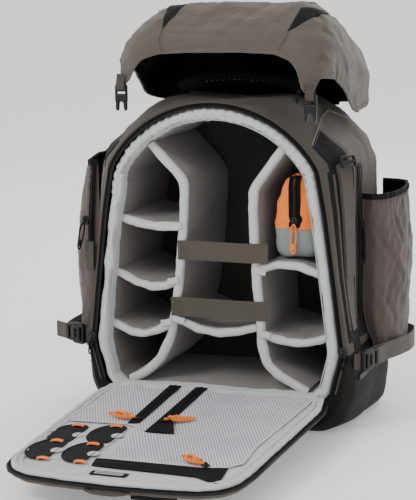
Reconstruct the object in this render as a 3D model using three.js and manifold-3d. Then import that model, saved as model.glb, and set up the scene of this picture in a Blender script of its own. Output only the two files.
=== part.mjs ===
// Camera backpack, standing upright with its front panel folded down and its lid raised.
// Millimetres. +X is the bag's left-to-right as seen from the front, -Y is the front, +Z is up.
// The origin is the centre of the flat underside.
import * as THREE from 'three';
import { mergeVertices } from 'three/addons/utils/BufferGeometryUtils.js';
import Module from 'manifold-3d';

const wasm = await Module();
wasm.setup();

// ---- driving dimensions ------------------------------------------------------------------
const GAP = 0.4;                 // clearance between touching pieces

const FRONT = -115;              // front plane of the body, where the opening is
const BACK = 108;                // rear face of the body shell
const BOOT_TOP = 118;            // height where the rubberised base meets the fabric

const ARCH_RADIUS = 173;         // the top of the opening is one arc
const ARCH_HEIGHT = 287;         // height of that arc's centre
const LINER_WALL = 18;           // padded wall round the camera compartment
const LINER_BACK = 92;           // rear face of the padded liner
const BAY_BACK = 78;             // rear face of the camera compartment
const DIVIDER_FRONT = -103;      // front edges of the dividers
const DIVIDER_WALL = 13;
const SHELF_WALL = 11;

const PANEL_HINGE = [8, -117.5, 58];
const PANEL_DROOP = 1.8;         // degrees that the open panel slopes down to its free end
const PANEL_LENGTH = 405;
const PANEL_DEPTH = 14;          // padded panel without its front pocket

const LID_HINGE = [0, 115, 450];
const LID_RAISE = 17.5;          // degrees that the lid stands open
const LID_HEIGHT = 97;
const LID_WALL = 4;
const LID_SKEW = 0.09;           // the lid hangs a little to the right, this much for each unit forwards
const LID_SHIFT = -7;            // and its rear edge this much to the left

const STRAP_SPLAY = 0.24;        // the shoulder straps spread this much for each unit of drop
const STRAP_TOP = [65, 440];     // x and z where that spread starts

// ---- materials ---------------------------------------------------------------------------
const finish = (color, roughness, metalness = 0) =>
  new THREE.MeshStandardMaterial({ color, roughness, metalness });
const taupe = finish(0x70675d, 0.85);
const taupeWeb = finish(0x6a6157, 0.8);
const blackCloth = finish(0x232123, 0.8);
const blackWeb = finish(0x1b1a1c, 0.75);
const blackPlastic = finish(0x161618, 0.45);
const greyLining = finish(0xc8cbcb, 0.9);
const meshCloth = finish(0xd3d3d8, 0.8);
const padMesh = finish(0x3a393b, 0.95);
const orange = finish(0xf48a2c, 0.7);
const alloy = finish(0xb0b3b6, 0.35, 0.9);
const boardPlastic = finish(0x2c2e30, 0.6);

// ---- outlines ----------------------------------------------------------------------------
const degrees = Math.PI / 180;
const point = (u, v) => new THREE.Vector2(u, v);
const points = (pairs) => pairs.map(([u, v]) => point(u, v));

// Points on an arc, angles in degrees from the first axis.
function arc(centre, radius, from, to, steps) {
  const list = [];
  for (let i = 0; i <= steps; i += 1) {
    const angle = (from + (to - from) * i / steps) * degrees;
    list.push([centre[0] + radius * Math.cos(angle), centre[1] + radius * Math.sin(angle)]);
  }
  return list;
}

// A closed outline from its right half, which runs from the bottom to the top.
function mirrored(half) {
  const left = half.filter(([u]) => u > 0.01).map(([u, v]) => [-u, v]).reverse();
  return points([...half, ...left]);
}

// A closed anticlockwise outline moved outwards, or inwards with a negative distance.
function offset(outline, distance) {
  const count = outline.length;
  return outline.map((here, i) => {
    const before = here.clone().sub(outline[(i + count - 1) % count]).normalize();
    const after = outline[(i + 1) % count].clone().sub(here).normalize();
    const corner = point(before.y + after.y, -before.x - after.x).normalize();
    const reach = distance / Math.max(0.5, corner.dot(point(before.y, -before.x)));
    return here.clone().addScaledVector(corner, reach);
  });
}

// The outline of a band of even thickness along an open path.
function band(path, thickness) {
  const side = (sign) => path.map((here, i) => {
    const before = (path[i - 1] ? here.clone().sub(path[i - 1]) : path[1].clone().sub(here)).normalize();
    const after = (path[i + 1] ? path[i + 1].clone().sub(here) : before.clone()).normalize();
    const normal = point(-before.y - after.y, before.x + after.x).normalize();
    const reach = thickness / 2 / Math.max(0.6, normal.dot(point(-before.y, before.x)));
    return here.clone().addScaledVector(normal, sign * reach);
  });
  return [...side(-1), ...side(1).reverse()];
}

const smooth = (pairs, steps) => new THREE.SplineCurve(points(pairs)).getPoints(steps);

// A rectangle with round corners, centred on (u, v).
function roundedRectangle(u, v, halfWidth, halfHeight, radius, steps = 3) {
  const list = [];
  [[1, -1, -90], [1, 1, 0], [-1, 1, 90], [-1, -1, 180]].forEach(([su, sv, from]) => {
    const centre = [u + su * (halfWidth - radius), v + sv * (halfHeight - radius)];
    list.push(...arc(centre, radius, from, from + 90, steps));
  });
  return points(list);
}

// ---- solids ------------------------------------------------------------------------------
const axes = {
  front: [[1, 0, 0], [0, 0, 1], [0, -1, 0]],   // drawn in x and z, pushed towards -y
  side: [[0, 1, 0], [0, 0, 1], [1, 0, 0]],     // drawn in y and z, pushed towards +x
  plan: [[1, 0, 0], [0, 1, 0], [0, 0, 1]],     // drawn in x and y, pushed towards +z
};

// An outline drawn in one plane and pushed from low to high along the third axis.
function slab(outline, plane, low, high) {
  const shape = THREE.ShapeUtils.isClockWise(outline) ? [...outline].reverse() : outline;
  const depth = high - low;
  const geometry = new THREE.ExtrudeGeometry(new THREE.Shape(shape), { depth, bevelEnabled: false });
  const [u, v, w] = axes[plane].map((axis) => new THREE.Vector3(...axis));
  const start = plane === 'front' ? -high : low;
  geometry.translate(0, 0, start);
  return geometry.applyMatrix4(new THREE.Matrix4().makeBasis(u, v, w));
}

// A closed skin through rings of equal length, with a fan over each end.
function loft(rings) {
  const size = rings[0].length;
  const vertices = rings.flat();
  const faces = [];
  for (let r = 0; r < rings.length - 1; r += 1) {
    for (let i = 0; i < size; i += 1) {
      const a = r * size + i;
      const b = r * size + (i + 1) % size;
      faces.push(a, b, b + size, a, b + size, a + size);
    }
  }
  [[0, 0], [rings.length - 1, 1]].forEach(([r, last]) => {
    const centre = vertices.length;
    vertices.push(rings[r].reduce((sum, p) => sum.add(p), new THREE.Vector3()).divideScalar(size));
    for (let i = 0; i < size; i += 1) {
      const a = r * size + i;
      const b = r * size + (i + 1) % size;
      faces.push(...(last ? [a, b, centre] : [b, a, centre]));
    }
  });
  const geometry = new THREE.BufferGeometry().setFromPoints(vertices);
  geometry.setIndex(faces);
  return upright(geometry);
}

// Turns a closed skin the right way out.
function upright(geometry) {
  const position = geometry.attributes.position;
  const index = geometry.index.array;
  const [a, b, c] = [0, 1, 2].map(() => new THREE.Vector3());
  let volume = 0;
  for (let i = 0; i < index.length; i += 3) {
    [a, b, c].forEach((corner, k) => corner.fromBufferAttribute(position, index[i + k]));
    volume += a.dot(b.cross(c));
  }
  if (volume < 0) {
    for (let i = 0; i < index.length; i += 3) [index[i + 1], index[i + 2]] = [index[i + 2], index[i + 1]];
  }
  return geometry;
}

function block(low, high) {
  const size = high.map((value, i) => value - low[i]);
  return new THREE.BoxGeometry(...size).translate(...low.map((value, i) => value + size[i] / 2));
}

// A round or flat rod along a smooth path through the given places.
function rod(places, section, steps) {
  const path = new THREE.CatmullRomCurve3(places.map((place) => new THREE.Vector3(...place)));
  return new THREE.ExtrudeGeometry(new THREE.Shape(section), { steps, extrudePath: path });
}

// ---- booleans ----------------------------------------------------------------------------
function toSolid(geometry) {
  const bare = geometry.clone();
  ['normal', 'uv'].forEach((name) => bare.deleteAttribute(name));
  const merged = mergeVertices(bare, 1e-4);
  return new wasm.Manifold(new wasm.Mesh({
    numProp: 3,
    vertProperties: new Float32Array(merged.attributes.position.array),
    triVerts: new Uint32Array(merged.index.array),
  }));
}

function toGeometry(body) {
  const mesh = body.getMesh();
  const geometry = new THREE.BufferGeometry();
  geometry.setAttribute('position', new THREE.BufferAttribute(new Float32Array(mesh.vertProperties), 3));
  geometry.setIndex(new THREE.BufferAttribute(new Uint32Array(mesh.triVerts), 1));
  return geometry;
}

const combine = (action) => (first, ...rest) =>
  toGeometry(rest.reduce((sum, next) => sum[action](toSolid(next)), toSolid(first)));
const cut = combine('subtract');
const join = combine('add');
const common = combine('intersect');

// ---- scene graph -------------------------------------------------------------------------
const bag = new THREE.Group();

const panel = new THREE.Group();          // local -y runs from the hinge to the free end
panel.position.set(...PANEL_HINGE);
panel.rotation.x = PANEL_DROOP * degrees;
bag.add(panel);

const lid = new THREE.Group();            // drawn closed, then raised about its rear edge
lid.position.set(...LID_HINGE);
lid.rotation.x = -LID_RAISE * degrees;
bag.add(lid);

function add(name, geometry, material, parent = bag) {
  const mesh = new THREE.Mesh(geometry, material);
  mesh.name = name;
  parent.add(mesh);
}

const sides = [['left', -1], ['right', 1]];
const flip = (geometry, sign) => (sign > 0 ? geometry : cutMirror(geometry));

// The same piece on the other side of the bag.
function cutMirror(geometry) {
  const copy = geometry.index ? geometry.toNonIndexed() : geometry.clone();
  copy.scale(-1, 1, 1);
  const position = copy.attributes.position;
  const indices = Array.from({ length: position.count }, (_, i) => i);
  for (let i = 0; i < indices.length; i += 3) {
    [indices[i + 1], indices[i + 2]] = [indices[i + 2], indices[i + 1]];
  }
  copy.setIndex(indices);
  ['normal', 'uv'].filter((name) => copy.attributes[name]).forEach((name) => copy.deleteAttribute(name));
  return mergeVertices(copy, 1e-4);
}

// ---- body: boot, shell and zip -----------------------------------------------------------
const archTop = (radius, steps = 8) => arc([0, ARCH_HEIGHT], radius, 30, 90, steps);
const rim = mirrored([[148, 38], [170, 58], [185, 116], [172, 223], [161, 310], ...archTop(ARCH_RADIUS)]);

const bodySections = [
  [FRONT, [[140, 8], [166, 22], [186, 52], [197, 116], [181, 223], [170, 310], ...archTop(182)]],
  [-98, [[156, 0], [184, 14], [201, 52], [204, 112], [184, 223], [178, 310], [168, 385], [134, 424], [96, 454],
    [0, 468]]],
  [-60, [[168, 0], [192, 11], [207, 56], [207, 100], [197, 128], [190, 165], [190, 370], [179, 400], [148, 424],
    [114, 455], [88, 470], [0, 466]]],
  [80, [[190, 0], [202, 12], [207, 50], [207, 100], [197, 128], [190, 165], [190, 370], [176, 405], [142, 442],
    [96, 468], [0, 462]]],
  [BACK, [[176, 0], [193, 14], [200, 52], [200, 100], [184, 128], [180, 165], [180, 370], [166, 400], [130, 438],
    [60, 458], [0, 458]]],
];
const BODY_CENTRE = 230;
const RING_SIZE = 64;

// Where a ray from the body's centre line leaves an outline.
function reach(outline, angle) {
  const ray = point(Math.cos(angle), Math.sin(angle));
  let far = 0;
  outline.forEach((from, i) => {
    const to = outline[(i + 1) % outline.length];
    const edge = to.clone().sub(from);
    const start = point(from.x, from.y - BODY_CENTRE);
    const across = ray.cross(edge);
    if (Math.abs(across) < 1e-9) return;
    const along = start.cross(edge) / across;
    const share = start.cross(ray) / across;
    if (share >= -1e-9 && share <= 1 + 1e-9) far = Math.max(far, along);
  });
  return far;
}

function bodyRing([y, half]) {
  const outline = mirrored([[0, half[0][1]], ...half]);
  const ring = [];
  for (let i = 0; i < RING_SIZE; i += 1) {
    const angle = (i + 0.5) / RING_SIZE * 2 * Math.PI;
    const far = reach(outline, angle);
    ring.push(new THREE.Vector3(far * Math.cos(angle), y, BODY_CENTRE + far * Math.sin(angle)));
  }
  return ring;
}

const LIMIT = 400;
const compartment = slab(offset(rim, GAP), 'front', FRONT - 5, 100);
const bodyForm = cut(loft(bodySections.map(bodyRing)), compartment);
add('boot', common(bodyForm, block([-LIMIT, -LIMIT, -10], [LIMIT, LIMIT, BOOT_TOP - GAP / 2])), blackCloth);
add('shell', common(bodyForm, block([-LIMIT, -LIMIT, BOOT_TOP + GAP / 2], [LIMIT, LIMIT, 500])), taupe);

const ZIP_INNER = 1;
const ZIP_OUTER = 9;
const ZIP_FRONT = FRONT - 2;
const TRACK_BOTTOM = 62;
const trackRing = cut(
  slab(offset(rim, ZIP_OUTER), 'front', ZIP_FRONT, FRONT - GAP),
  slab(offset(rim, ZIP_INNER), 'front', ZIP_FRONT - 5, FRONT + 5),
);
add('zip_track', cut(trackRing, block([-LIMIT, -LIMIT, 0], [LIMIT, 0, TRACK_BOTTOM])), blackWeb);

// The main zip's two sliders wait low on the straight sides of the track.
const SLIDER_LOW = [190, 122];
const TRACK_LEAN = (185 - 151) / (374 - 116);
sides.forEach(([name, sign]) => {
  const body = slab(roundedRectangle(0, 0, 4.5, 7, 2.5), 'front', ZIP_FRONT - 4.5, ZIP_FRONT - GAP);
  const tab = slab(roundedRectangle(0, -15, 3, 10, 2.5), 'front', ZIP_FRONT - 4, ZIP_FRONT - 1.5);
  const slider = join(body, tab);
  slider.applyMatrix4(new THREE.Matrix4().makeRotationY(-Math.atan(TRACK_LEAN)));
  slider.translate(SLIDER_LOW[0] - TRACK_LEAN * (SLIDER_LOW[1] - 116), 0, SLIDER_LOW[1]);
  add(`main_zip_slider_${name}`, flip(slider, sign), blackPlastic);
});

// ---- camera compartment ------------------------------------------------------------------
const bay = offset(rim, -LINER_WALL);
add('liner', cut(slab(rim, 'front', FRONT, LINER_BACK), slab(bay, 'front', FRONT - 5, BAY_BACK)), greyLining);

const bayRoom = slab(offset(bay, -GAP), 'front', FRONT, BAY_BACK - GAP);
const leftPath = points([[-104, 412], [-75, 381], [-48, 354], [-50, 300], [-54, 254], [-60, 200],
  [-66, 160], [-72, 128], [-88, 92], [-115, 68], [-150, 50]]);
const rightPath = points([[104, 408], [78, 374], [55, 344], [55, 300], [57, 254], [60, 200],
  [63, 164], [66, 120], [73, 92], [95, 75], [125, 60], [155, 46]]);
const wall = (path, thickness, front = DIVIDER_FRONT) => slab(band(path, thickness), 'front', front, BAY_BACK);
add('divider_left', common(wall(leftPath, DIVIDER_WALL), bayRoom), greyLining);
add('divider_right', common(wall(rightPath, DIVIDER_WALL), bayRoom), greyLining);

const dividerRoom = [leftPath, rightPath].map((path) => wall(path, DIVIDER_WALL + 2 * GAP, FRONT));
const shelves = {
  shelf_left_upper: [[-165, 299], [-147, 297], [-120, 290], [-95, 286], [-50, 287]],
  shelf_left_middle: [[-170, 222], [-149, 214], [-125, 202], [-102, 197], [-80, 199], [-52, 211]],
  shelf_left_lower: [[-180, 148], [-158, 138], [-135, 128], [-115, 126], [-95, 132], [-66, 150]],
  shelf_centre: [[-70, 153], [-53, 147], [-30, 138], [0, 134], [30, 138], [58, 146], [70, 150]],
  shelf_right_upper: [[55, 226], [70, 232], [90, 238], [120, 237], [155, 226], [180, 216]],
  shelf_right_lower: [[60, 138], [80, 132], [105, 127], [131, 127], [155, 134], [180, 146]],
};
const bayBounds = {
  left: block([-LIMIT, -LIMIT, 0], [-58, LIMIT, 500]),
  centre: block([-66, -LIMIT, 0], [66, LIMIT, 500]),
  right: block([58, -LIMIT, 0], [LIMIT, LIMIT, 500]),
};
Object.entries(shelves).forEach(([name, path]) => {
  const form = wall(smooth(path, 12), SHELF_WALL, DIVIDER_FRONT + 2);
  const shelf = common(form, bayRoom, bayBounds[name.split('_')[1]]);
  add(name, cut(shelf, ...dividerRoom), greyLining);
});

// Webbing straps that hold the long lens in, sewn to the left divider.
const RETAINER_FRONT = DIVIDER_FRONT - 2.2;
const RETAINER_BACK = DIVIDER_FRONT - GAP;
add('retaining_strap_upper', block([-57, RETAINER_FRONT, 240], [78, RETAINER_BACK, 268]), taupeWeb);
add('retaining_strap_lower', block([-69, RETAINER_FRONT, 157], [77, RETAINER_BACK, 185]), taupeWeb);

// The accessory pouch stands in the upper right cell.
const pouchOutline = points([[92, 247], [134, 247], [141, 258], [141, 300], [136, 335], [124, 358],
  [110, 362], [97, 352], [90, 325], [87, 290], [87, 258]]);
const pouchRing = (y, inset) => offset(pouchOutline, -inset).map((p) => new THREE.Vector3(p.x, y, p.y));
add('accessory_pouch', loft([pouchRing(-92, 14), pouchRing(-86, 4), pouchRing(-76, 0), pouchRing(50, 0),
  pouchRing(60, 6)]), orange);
const pullPlan = points([[-5, 12], [5, 12], [6, 2], [7, -18], [4, -40], [-4, -40], [-6, -18], [-6, 2]]);
const pouchPull = slab(pullPlan, 'front', -98, -93);
pouchPull.translate(114, 0, 292);
add('pouch_zip_pull', pouchPull, orange);

// ---- back: frame and harness -------------------------------------------------------------
add('frame_sheet', common(
  slab(roundedRectangle(0, 245, 130, 180, 40), 'front', LINER_BACK + GAP, 95.5),
  slab(offset(rim, -6), 'front', BAY_BACK, BACK),
), boardPlastic);
sides.forEach(([name, sign]) => {
  add(`stay_${name}`, block([sign * 65 - 10, 96, 80], [sign * 65 + 10, 99, 420]), alloy);
});

const BACK_PAD_FACE = 124;
const padRing = (y, inset) => offset(roundedRectangle(0, 258, 142, 176, 45, 4), -inset)
  .map((p) => new THREE.Vector3(p.x, y, p.y));
add('back_pad', loft([padRing(BACK + GAP, 4), padRing(BACK + 5, 0), padRing(BACK_PAD_FACE - 5, 0),
  padRing(BACK_PAD_FACE, 8)]), padMesh);

const LUMBAR_FACE = 150;
const lumbarRing = (y, inset) => offset(roundedRectangle(0, 116, 100, 34, 22, 4), -inset)
  .map((p) => new THREE.Vector3(p.x, y, p.y));
add('lumbar_pad', loft([lumbarRing(BACK_PAD_FACE + GAP, 2), lumbarRing(BACK_PAD_FACE + 6, 0),
  lumbarRing(LUMBAR_FACE - 6, 0), lumbarRing(LUMBAR_FACE, 7)]), padMesh);

// Shoulder straps hang from the top of the back pad and splay towards their lower ends.
function splayed(geometry, sign) {
  const position = geometry.attributes.position;
  for (let i = 0; i < position.count; i += 1) {
    const spread = STRAP_TOP[0] + STRAP_SPLAY * (STRAP_TOP[1] - position.getZ(i));
    position.setX(i, position.getX(i) + sign * spread);
  }
  return geometry;
}
const strapPath = smooth([[131, 415], [137, 434], [153, 439], [167, 420], [174, 380], [177, 330], [174, 250],
  [166, 192]], 16);
const webbingPath = smooth([[165.5, 187], [160, 165], [143, 120], [122, 90], [113, 78]], 8);
sides.forEach(([name, sign]) => {
  add(`shoulder_strap_${name}`, splayed(slab(band(strapPath, 12), 'side', -31, 31), sign), padMesh);
  add(`strap_webbing_${name}`, splayed(slab(band(webbingPath, 2.4), 'side', -12.5, 12.5), sign), blackWeb);
});
const STERNUM_HEIGHT = 330;
add('sternum_strap', join(
  block([-98, 184.2, STERNUM_HEIGHT - 9], [98, 186.6, STERNUM_HEIGHT + 9]),
  block([-19, 182, STERNUM_HEIGHT - 12], [19, 190, STERNUM_HEIGHT + 12]),
), blackWeb);

// Hip belt wings, folded flat across the lumbar pad.
const WING_HINGE = 104;
const WING_BACK = LUMBAR_FACE + 14.5;
sides.forEach(([name, sign]) => {
  const outline = points([[WING_HINGE, 84], [WING_HINGE, 148], [70, 150], [42, 138], [34, 128], [34, 104],
    [42, 94], [70, 82]]);
  add(`belt_wing_${name}`, flip(slab(outline, 'front', LUMBAR_FACE + GAP + 0.6, WING_BACK), sign), padMesh);
});
const buckleMiddle = 116;
add('belt_buckle_socket', join(
  slab(roundedRectangle(20, buckleMiddle, 12, 17, 4), 'front', LUMBAR_FACE + 3, WING_BACK - 1),
  block([30, LUMBAR_FACE + 6, buckleMiddle - 10], [34 - GAP, LUMBAR_FACE + 9, buckleMiddle + 10]),
), blackPlastic);
add('belt_buckle_plug', join(
  slab(roundedRectangle(-22, buckleMiddle, 10, 16, 4), 'front', LUMBAR_FACE + 3, WING_BACK - 1),
  block([-34 + GAP, LUMBAR_FACE + 6, buckleMiddle - 10], [-30, LUMBAR_FACE + 9, buckleMiddle + 10]),
), blackPlastic);

// ---- haul handle -------------------------------------------------------------------------
const HANDLE_Y = 15;
const grip = roundedRectangle(0, 0, 7, 8, 5, 2);
const handleHalf = [[92, 475.5], [80, 483], [44, 491]];
add('haul_handle', rod([
  ...handleHalf.map(([x, z]) => [-x, HANDLE_Y, z]), [0, HANDLE_Y, 493],
  ...[...handleHalf].reverse().map(([x, z]) => [x, HANDLE_Y, z]),
], grip, 16), blackPlastic);

// ---- side pockets ------------------------------------------------------------------------
// Each plan is drawn for the right side; x runs outwards from the body's side.
const POCKET_INNER = 193;
const POCKET_WALL = 4.5;
const pocketPlans = {
  left: [[POCKET_INNER, -70], [212, -76], [232, -66], [245, -40], [251, 0], [251, 45], [246, 78], [228, 100],
    [POCKET_INNER, 104]],
  right: [[POCKET_INNER, -14], [210, -22], [226, -12], [240, 8], [248, 35], [248, 62], [240, 88], [222, 102],
    [POCKET_INNER, 104]],
};
// Height, how full the pocket is there, and how far it stands off the flared base. The last is the mouth.
const pocketFoot = [[97, 0.46, 15.5], [118, 0.6, 15.5], [130, 0.78, 7.5], [165, 0.95, 0.5]];
const pocketLevels = {
  left: [...pocketFoot, [250, 1, 0], [320, 0.82, 0], [384, 0.42, 0]],
  right: [...pocketFoot, [260, 1, 0], [335, 0.86, 0]],
};
const POCKET_FLOOR = 6;

function pocketForm(levels, plan, floor) {
  return loft(levels.map(([level, fill, stand], i) => {
    const top = i === levels.length - 1;
    const z = top ? level + floor : Math.max(level, levels[0][0] + floor);
    return plan.map((p) => new THREE.Vector3(POCKET_INNER + stand + (p.x - POCKET_INNER) * fill, p.y, z));
  }));
}
sides.forEach(([name, sign]) => {
  const plan = points(pocketPlans[name]);
  const outer = pocketForm(pocketLevels[name], plan, 0);
  const inner = pocketForm(pocketLevels[name], offset(plan, -POCKET_WALL), POCKET_FLOOR);
  add(`side_pocket_${name}`, flip(cut(outer, inner), sign), taupe);
});

// ---- side webbing, buckles and zips ------------------------------------------------------
// How far the body's right wall is from the middle at a depth and a height.
function wallAt(y, z) {
  const next = Math.max(1, bodySections.findIndex(([depth]) => depth >= y));
  const [near, far] = [bodySections[next - 1], bodySections[next]].map(([depth, half]) => {
    const top = half.findIndex(([, height]) => height >= z);
    const [[x0, z0], [x1, z1]] = [half[top - 1], half[top]];
    return [depth, x0 + (x1 - x0) * (z - z0) / (z1 - z0)];
  });
  return near[1] + (far[1] - near[1]) * (y - near[0]) / (far[0] - near[0]);
}

// A webbing strip that follows the right wall between two depths, through the given heights.
function wallStrip(heights, y0, y1, thickness) {
  const lift = 1.9;
  return loft(heights.map((z) => {
    const [x0, x1] = [wallAt(y0, z) + lift, wallAt(y1, z) + lift];
    const corners = [[x0, y0], [x0 + thickness, y0], [x1 + thickness, y1], [x1, y1]];
    return corners.map(([u, v]) => new THREE.Vector3(u, v, z));
  }));
}
// The larger left pocket covers the place where a second load strap would be.
const LOAD_STRAP = [-92, -62];
const loadLevels = Array.from({ length: 17 }, (_, i) => 132 + 15 * i);
add('load_strap', wallStrip(loadLevels, ...LOAD_STRAP, 2), taupeWeb);
const lock = cut(block([-3.5, -16.5, -8], [3.5, 16.5, 8]), block([-6, -12.5, -3.5], [6, 12.5, 3.5]));
add('ladder_lock', lock.rotateY(-0.3).rotateZ(-0.44).translate(186.5, -77, 384), blackPlastic);

// Compression straps run round the foot of each pocket; a buckle closes them at the front.
const STRAP_LEVELS = { left: [107, 133], right: [94, 120] };
const STRAP_THICK = 2;
// The buckle lies on the straight stretch that starts at buckleStart and runs at buckleTurn to +x.
const strapPlans = {
  left: {
    buckleStart: [207, -97], buckleTurn: 25, straight: 50,
    rest: [[255, -50], [257, 0], [257, 45], [251, 80], [232, 104], [205, 111]],
  },
  right: {
    buckleStart: [207.5, -96], buckleTurn: 71.5, straight: 106,
    rest: [[249, 36], [249, 66], [243, 92], [228, 107], [209, 111]],
  },
};
function sideBuckle(from, to, middle, halfHeight) {
  const outline = roundedRectangle((from + to) / 2, middle, (to - from) / 2, halfHeight, 4);
  return slab(outline, 'front', -STRAP_THICK / 2 - 9, -STRAP_THICK / 2 - GAP);
}
sides.forEach(([name, sign]) => {
  const { buckleStart, buckleTurn, straight, rest } = strapPlans[name];
  const turn = buckleTurn * degrees;
  const bend = [buckleStart[0] + straight * Math.cos(turn), buckleStart[1] + straight * Math.sin(turn)];
  const [low, high] = STRAP_LEVELS[name];
  const middle = (low + high) / 2;
  const strap = slab(band(points([buckleStart, bend, ...rest]), STRAP_THICK), 'plan', low, high);
  add(`compression_strap_${name}`, flip(strap, sign), taupeWeb);

  // Drawn along +x on the outer face of the strap, then turned on to it.
  const onStrap = (geometry) => geometry.rotateZ(turn).translate(buckleStart[0], buckleStart[1], 0);
  const plugHole = block([8, -7.6, middle - 10.5], [32, -3.4, middle + 10.5]);
  const socket = cut(sideBuckle(0, 24, middle, 16), plugHole);
  const tongue = block([10, -7.1, middle - 9], [28, -3.9, middle + 9]);
  const plug = join(sideBuckle(24 + GAP, 38, middle, 14), tongue);
  add(`side_buckle_socket_${name}`, flip(onStrap(socket), sign), blackPlastic);
  add(`side_buckle_plug_${name}`, flip(onStrap(plug), sign), blackPlastic);
});

// Pocket zip sliders with cord loops.
const sliderOutline = points([[-4, 8], [4, 8], [4, -7], [7, -14], [12, -40], [10, -62], [3, -68], [-4, -60],
  [-6, -34], [-4, -12]]);
const sliderRight = slab(sliderOutline, 'side', 191.8, 196.8).translate(0, -31, 290);
add('side_zip_slider_right', sliderRight, blackPlastic);
const leftOutline = sliderOutline.map((p) => point(-p.x, p.y * 0.75));
const sliderLeft = slab(leftOutline, 'front', 0, 5).translate(-214, -84, 292);
add('side_zip_slider_left', sliderLeft, blackPlastic);

// ---- lid ---------------------------------------------------------------------------------
// In the lid's own axes the hinge is the origin, -y is forwards and z is up.
// Height, half widths at the rear and at the front, lean to the right, rear, front and corner radius.
const lidLevels = [
  [-62, 177, 149, 0, 0, -262, 38], [-22, 179, 150, 0, 0, -264, 40], [0, 180, 151, 0, 0, -265, 42],
  [32, 177, 149, 4, -2, -258, 44], [62, 160, 141, 9, -8, -240, 42], [84, 142, 124, 12, -18, -222, 36],
  [LID_HEIGHT, 120, 108, 14, -34, -206, 28],
];
function lidForm(inset, drop) {
  return loft(lidLevels.map(([z, wide, narrow, lean, rear, front, radius], i) => {
    const level = i === 0 || i === lidLevels.length - 1 ? z - drop : z;
    const centre = (rear + front) / 2;
    const halfDepth = (rear - front) / 2 - inset;
    return roundedRectangle(0, centre, wide - inset, halfDepth, radius - inset, 5).map((p) => {
      const forward = p.y / front;
      const x = p.x * (1 - (1 - narrow / wide) * forward * forward);
      return new THREE.Vector3(x - LID_SKEW * p.y + LID_SHIFT + lean, p.y, level);
    });
  }));
}
// What is cut away below the lid's edge: an arch under the front, a notch in each side, the rear.
// The left side is cut higher, so that it passes the closed front panel.
const frontArch = slab(mirrored([[0, -90], [126, -90], [126, -34], [122, -18], [108, -2], [84, 8], [40, 10],
  [0, 10]]), 'front', -LIMIT, -150).translate(15, 0, 0);
const rightNotch = slab(points([[1, -90], [1, -4], [-50, -18], [-86, -34], [-103, -34], [-122, -29],
  [-167, -19], [-206, -13], [-232, -19], [-247, -22], [-253, -46], [-272, -46], [-272, -90]]), 'side', 60, LIMIT);
const leftNotch = slab(points([[1, -90], [1, 2], [-40, 6], [-80, 14], [-120, 18], [-160, 20], [-200, 16],
  [-236, 5], [-247, 0], [-252, -20], [-253, -34], [-272, -34], [-272, -90]]), 'side', -LIMIT, -60);
const rearCut = block([-LIMIT, -30, -90], [LIMIT, 10, 1]);
const lidHollow = lidForm(LID_WALL, LID_WALL);
add('lid', cut(lidForm(0, 0), lidHollow, frontArch, rightNotch, leftNotch, rearCut), taupe, lid);

// Buckle plugs hang from the lid's front tabs.
const lidTabs = { left: [-122, -259, -37], right: [154, -259, -49] };
sides.forEach(([name]) => {
  const plate = slab(roundedRectangle(0, -13, 9, 12, 3.5), 'front', -4, 4);
  const prongs = [-1, 1].map((k) => block([k * 6 - 2.2, -3, -36], [k * 6 + 2.2, 3, -23]));
  const plug = join(plate, ...prongs);
  plug.rotateX(LID_RAISE * degrees).translate(...lidTabs[name]);
  add(`lid_buckle_plug_${name}`, plug, blackPlastic, lid);
});

// ---- front panel -------------------------------------------------------------------------
// Drawn in x and y from the hinge, with -y towards the free end and +z the inner face.
const panelHalf = [[156, 0], [167, 60], [163, 160], [159, 250], [156, 325], [151, 360], [138, 382], [112, 396],
  [60, 402], [0, PANEL_LENGTH]];
const panelOutline = mirrored([[0, 0], ...panelHalf]).map((p) => point(p.x, -p.y)).reverse();
const LINING_INSET = 6;
const LINING_BACK = -4.7;
const panelSlab = (outline, low, high) => slab(outline, 'plan', low, high);
add('panel_shell', panelSlab(offset(panelOutline, -GAP), -PANEL_DEPTH, LINING_BACK - 0.3), taupe, panel);
add('panel_lining', panelSlab(offset(panelOutline, -LINING_INSET), LINING_BACK, 0), greyLining, panel);
const panelTrack = cut(
  panelSlab(offset(panelOutline, 5), -8, -2),
  panelSlab(panelOutline, -10, 0),
  block([-LIMIT, -6, -20], [LIMIT, 20, 20]),
);
add('panel_zip_track', panelTrack, blackWeb, panel);

// The outside pocket bulges down to the ground, which slopes in the panel's own axes.
const POCKET_BOTTOM = 0.3;
const POCKET_INSET = 22;
function frontPocketRing(depth, narrow, endInset) {
  const outline = offset(panelOutline, -POCKET_INSET);
  const near = -POCKET_INSET - 14 - narrow / 3;
  const far = -(PANEL_LENGTH - endInset);
  const share = (near - far) / (PANEL_LENGTH - 2 * POCKET_INSET);
  return outline.map((p) => {
    const y = near + (p.y + POCKET_INSET) * share;
    const sole = (POCKET_BOTTOM - PANEL_HINGE[2] - y * Math.sin(PANEL_DROOP * degrees))
      / Math.cos(PANEL_DROOP * degrees);
    return new THREE.Vector3(p.x * (1 - narrow / 150), y, depth === null ? sole : depth);
  });
}
add('front_pocket', loft([frontPocketRing(-PANEL_DEPTH - GAP, 0, 30), frontPocketRing(-26, 12, 80),
  frontPocketRing(-38, 28, 130), frontPocketRing(null, 44, 185)]), taupe, panel);

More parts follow.
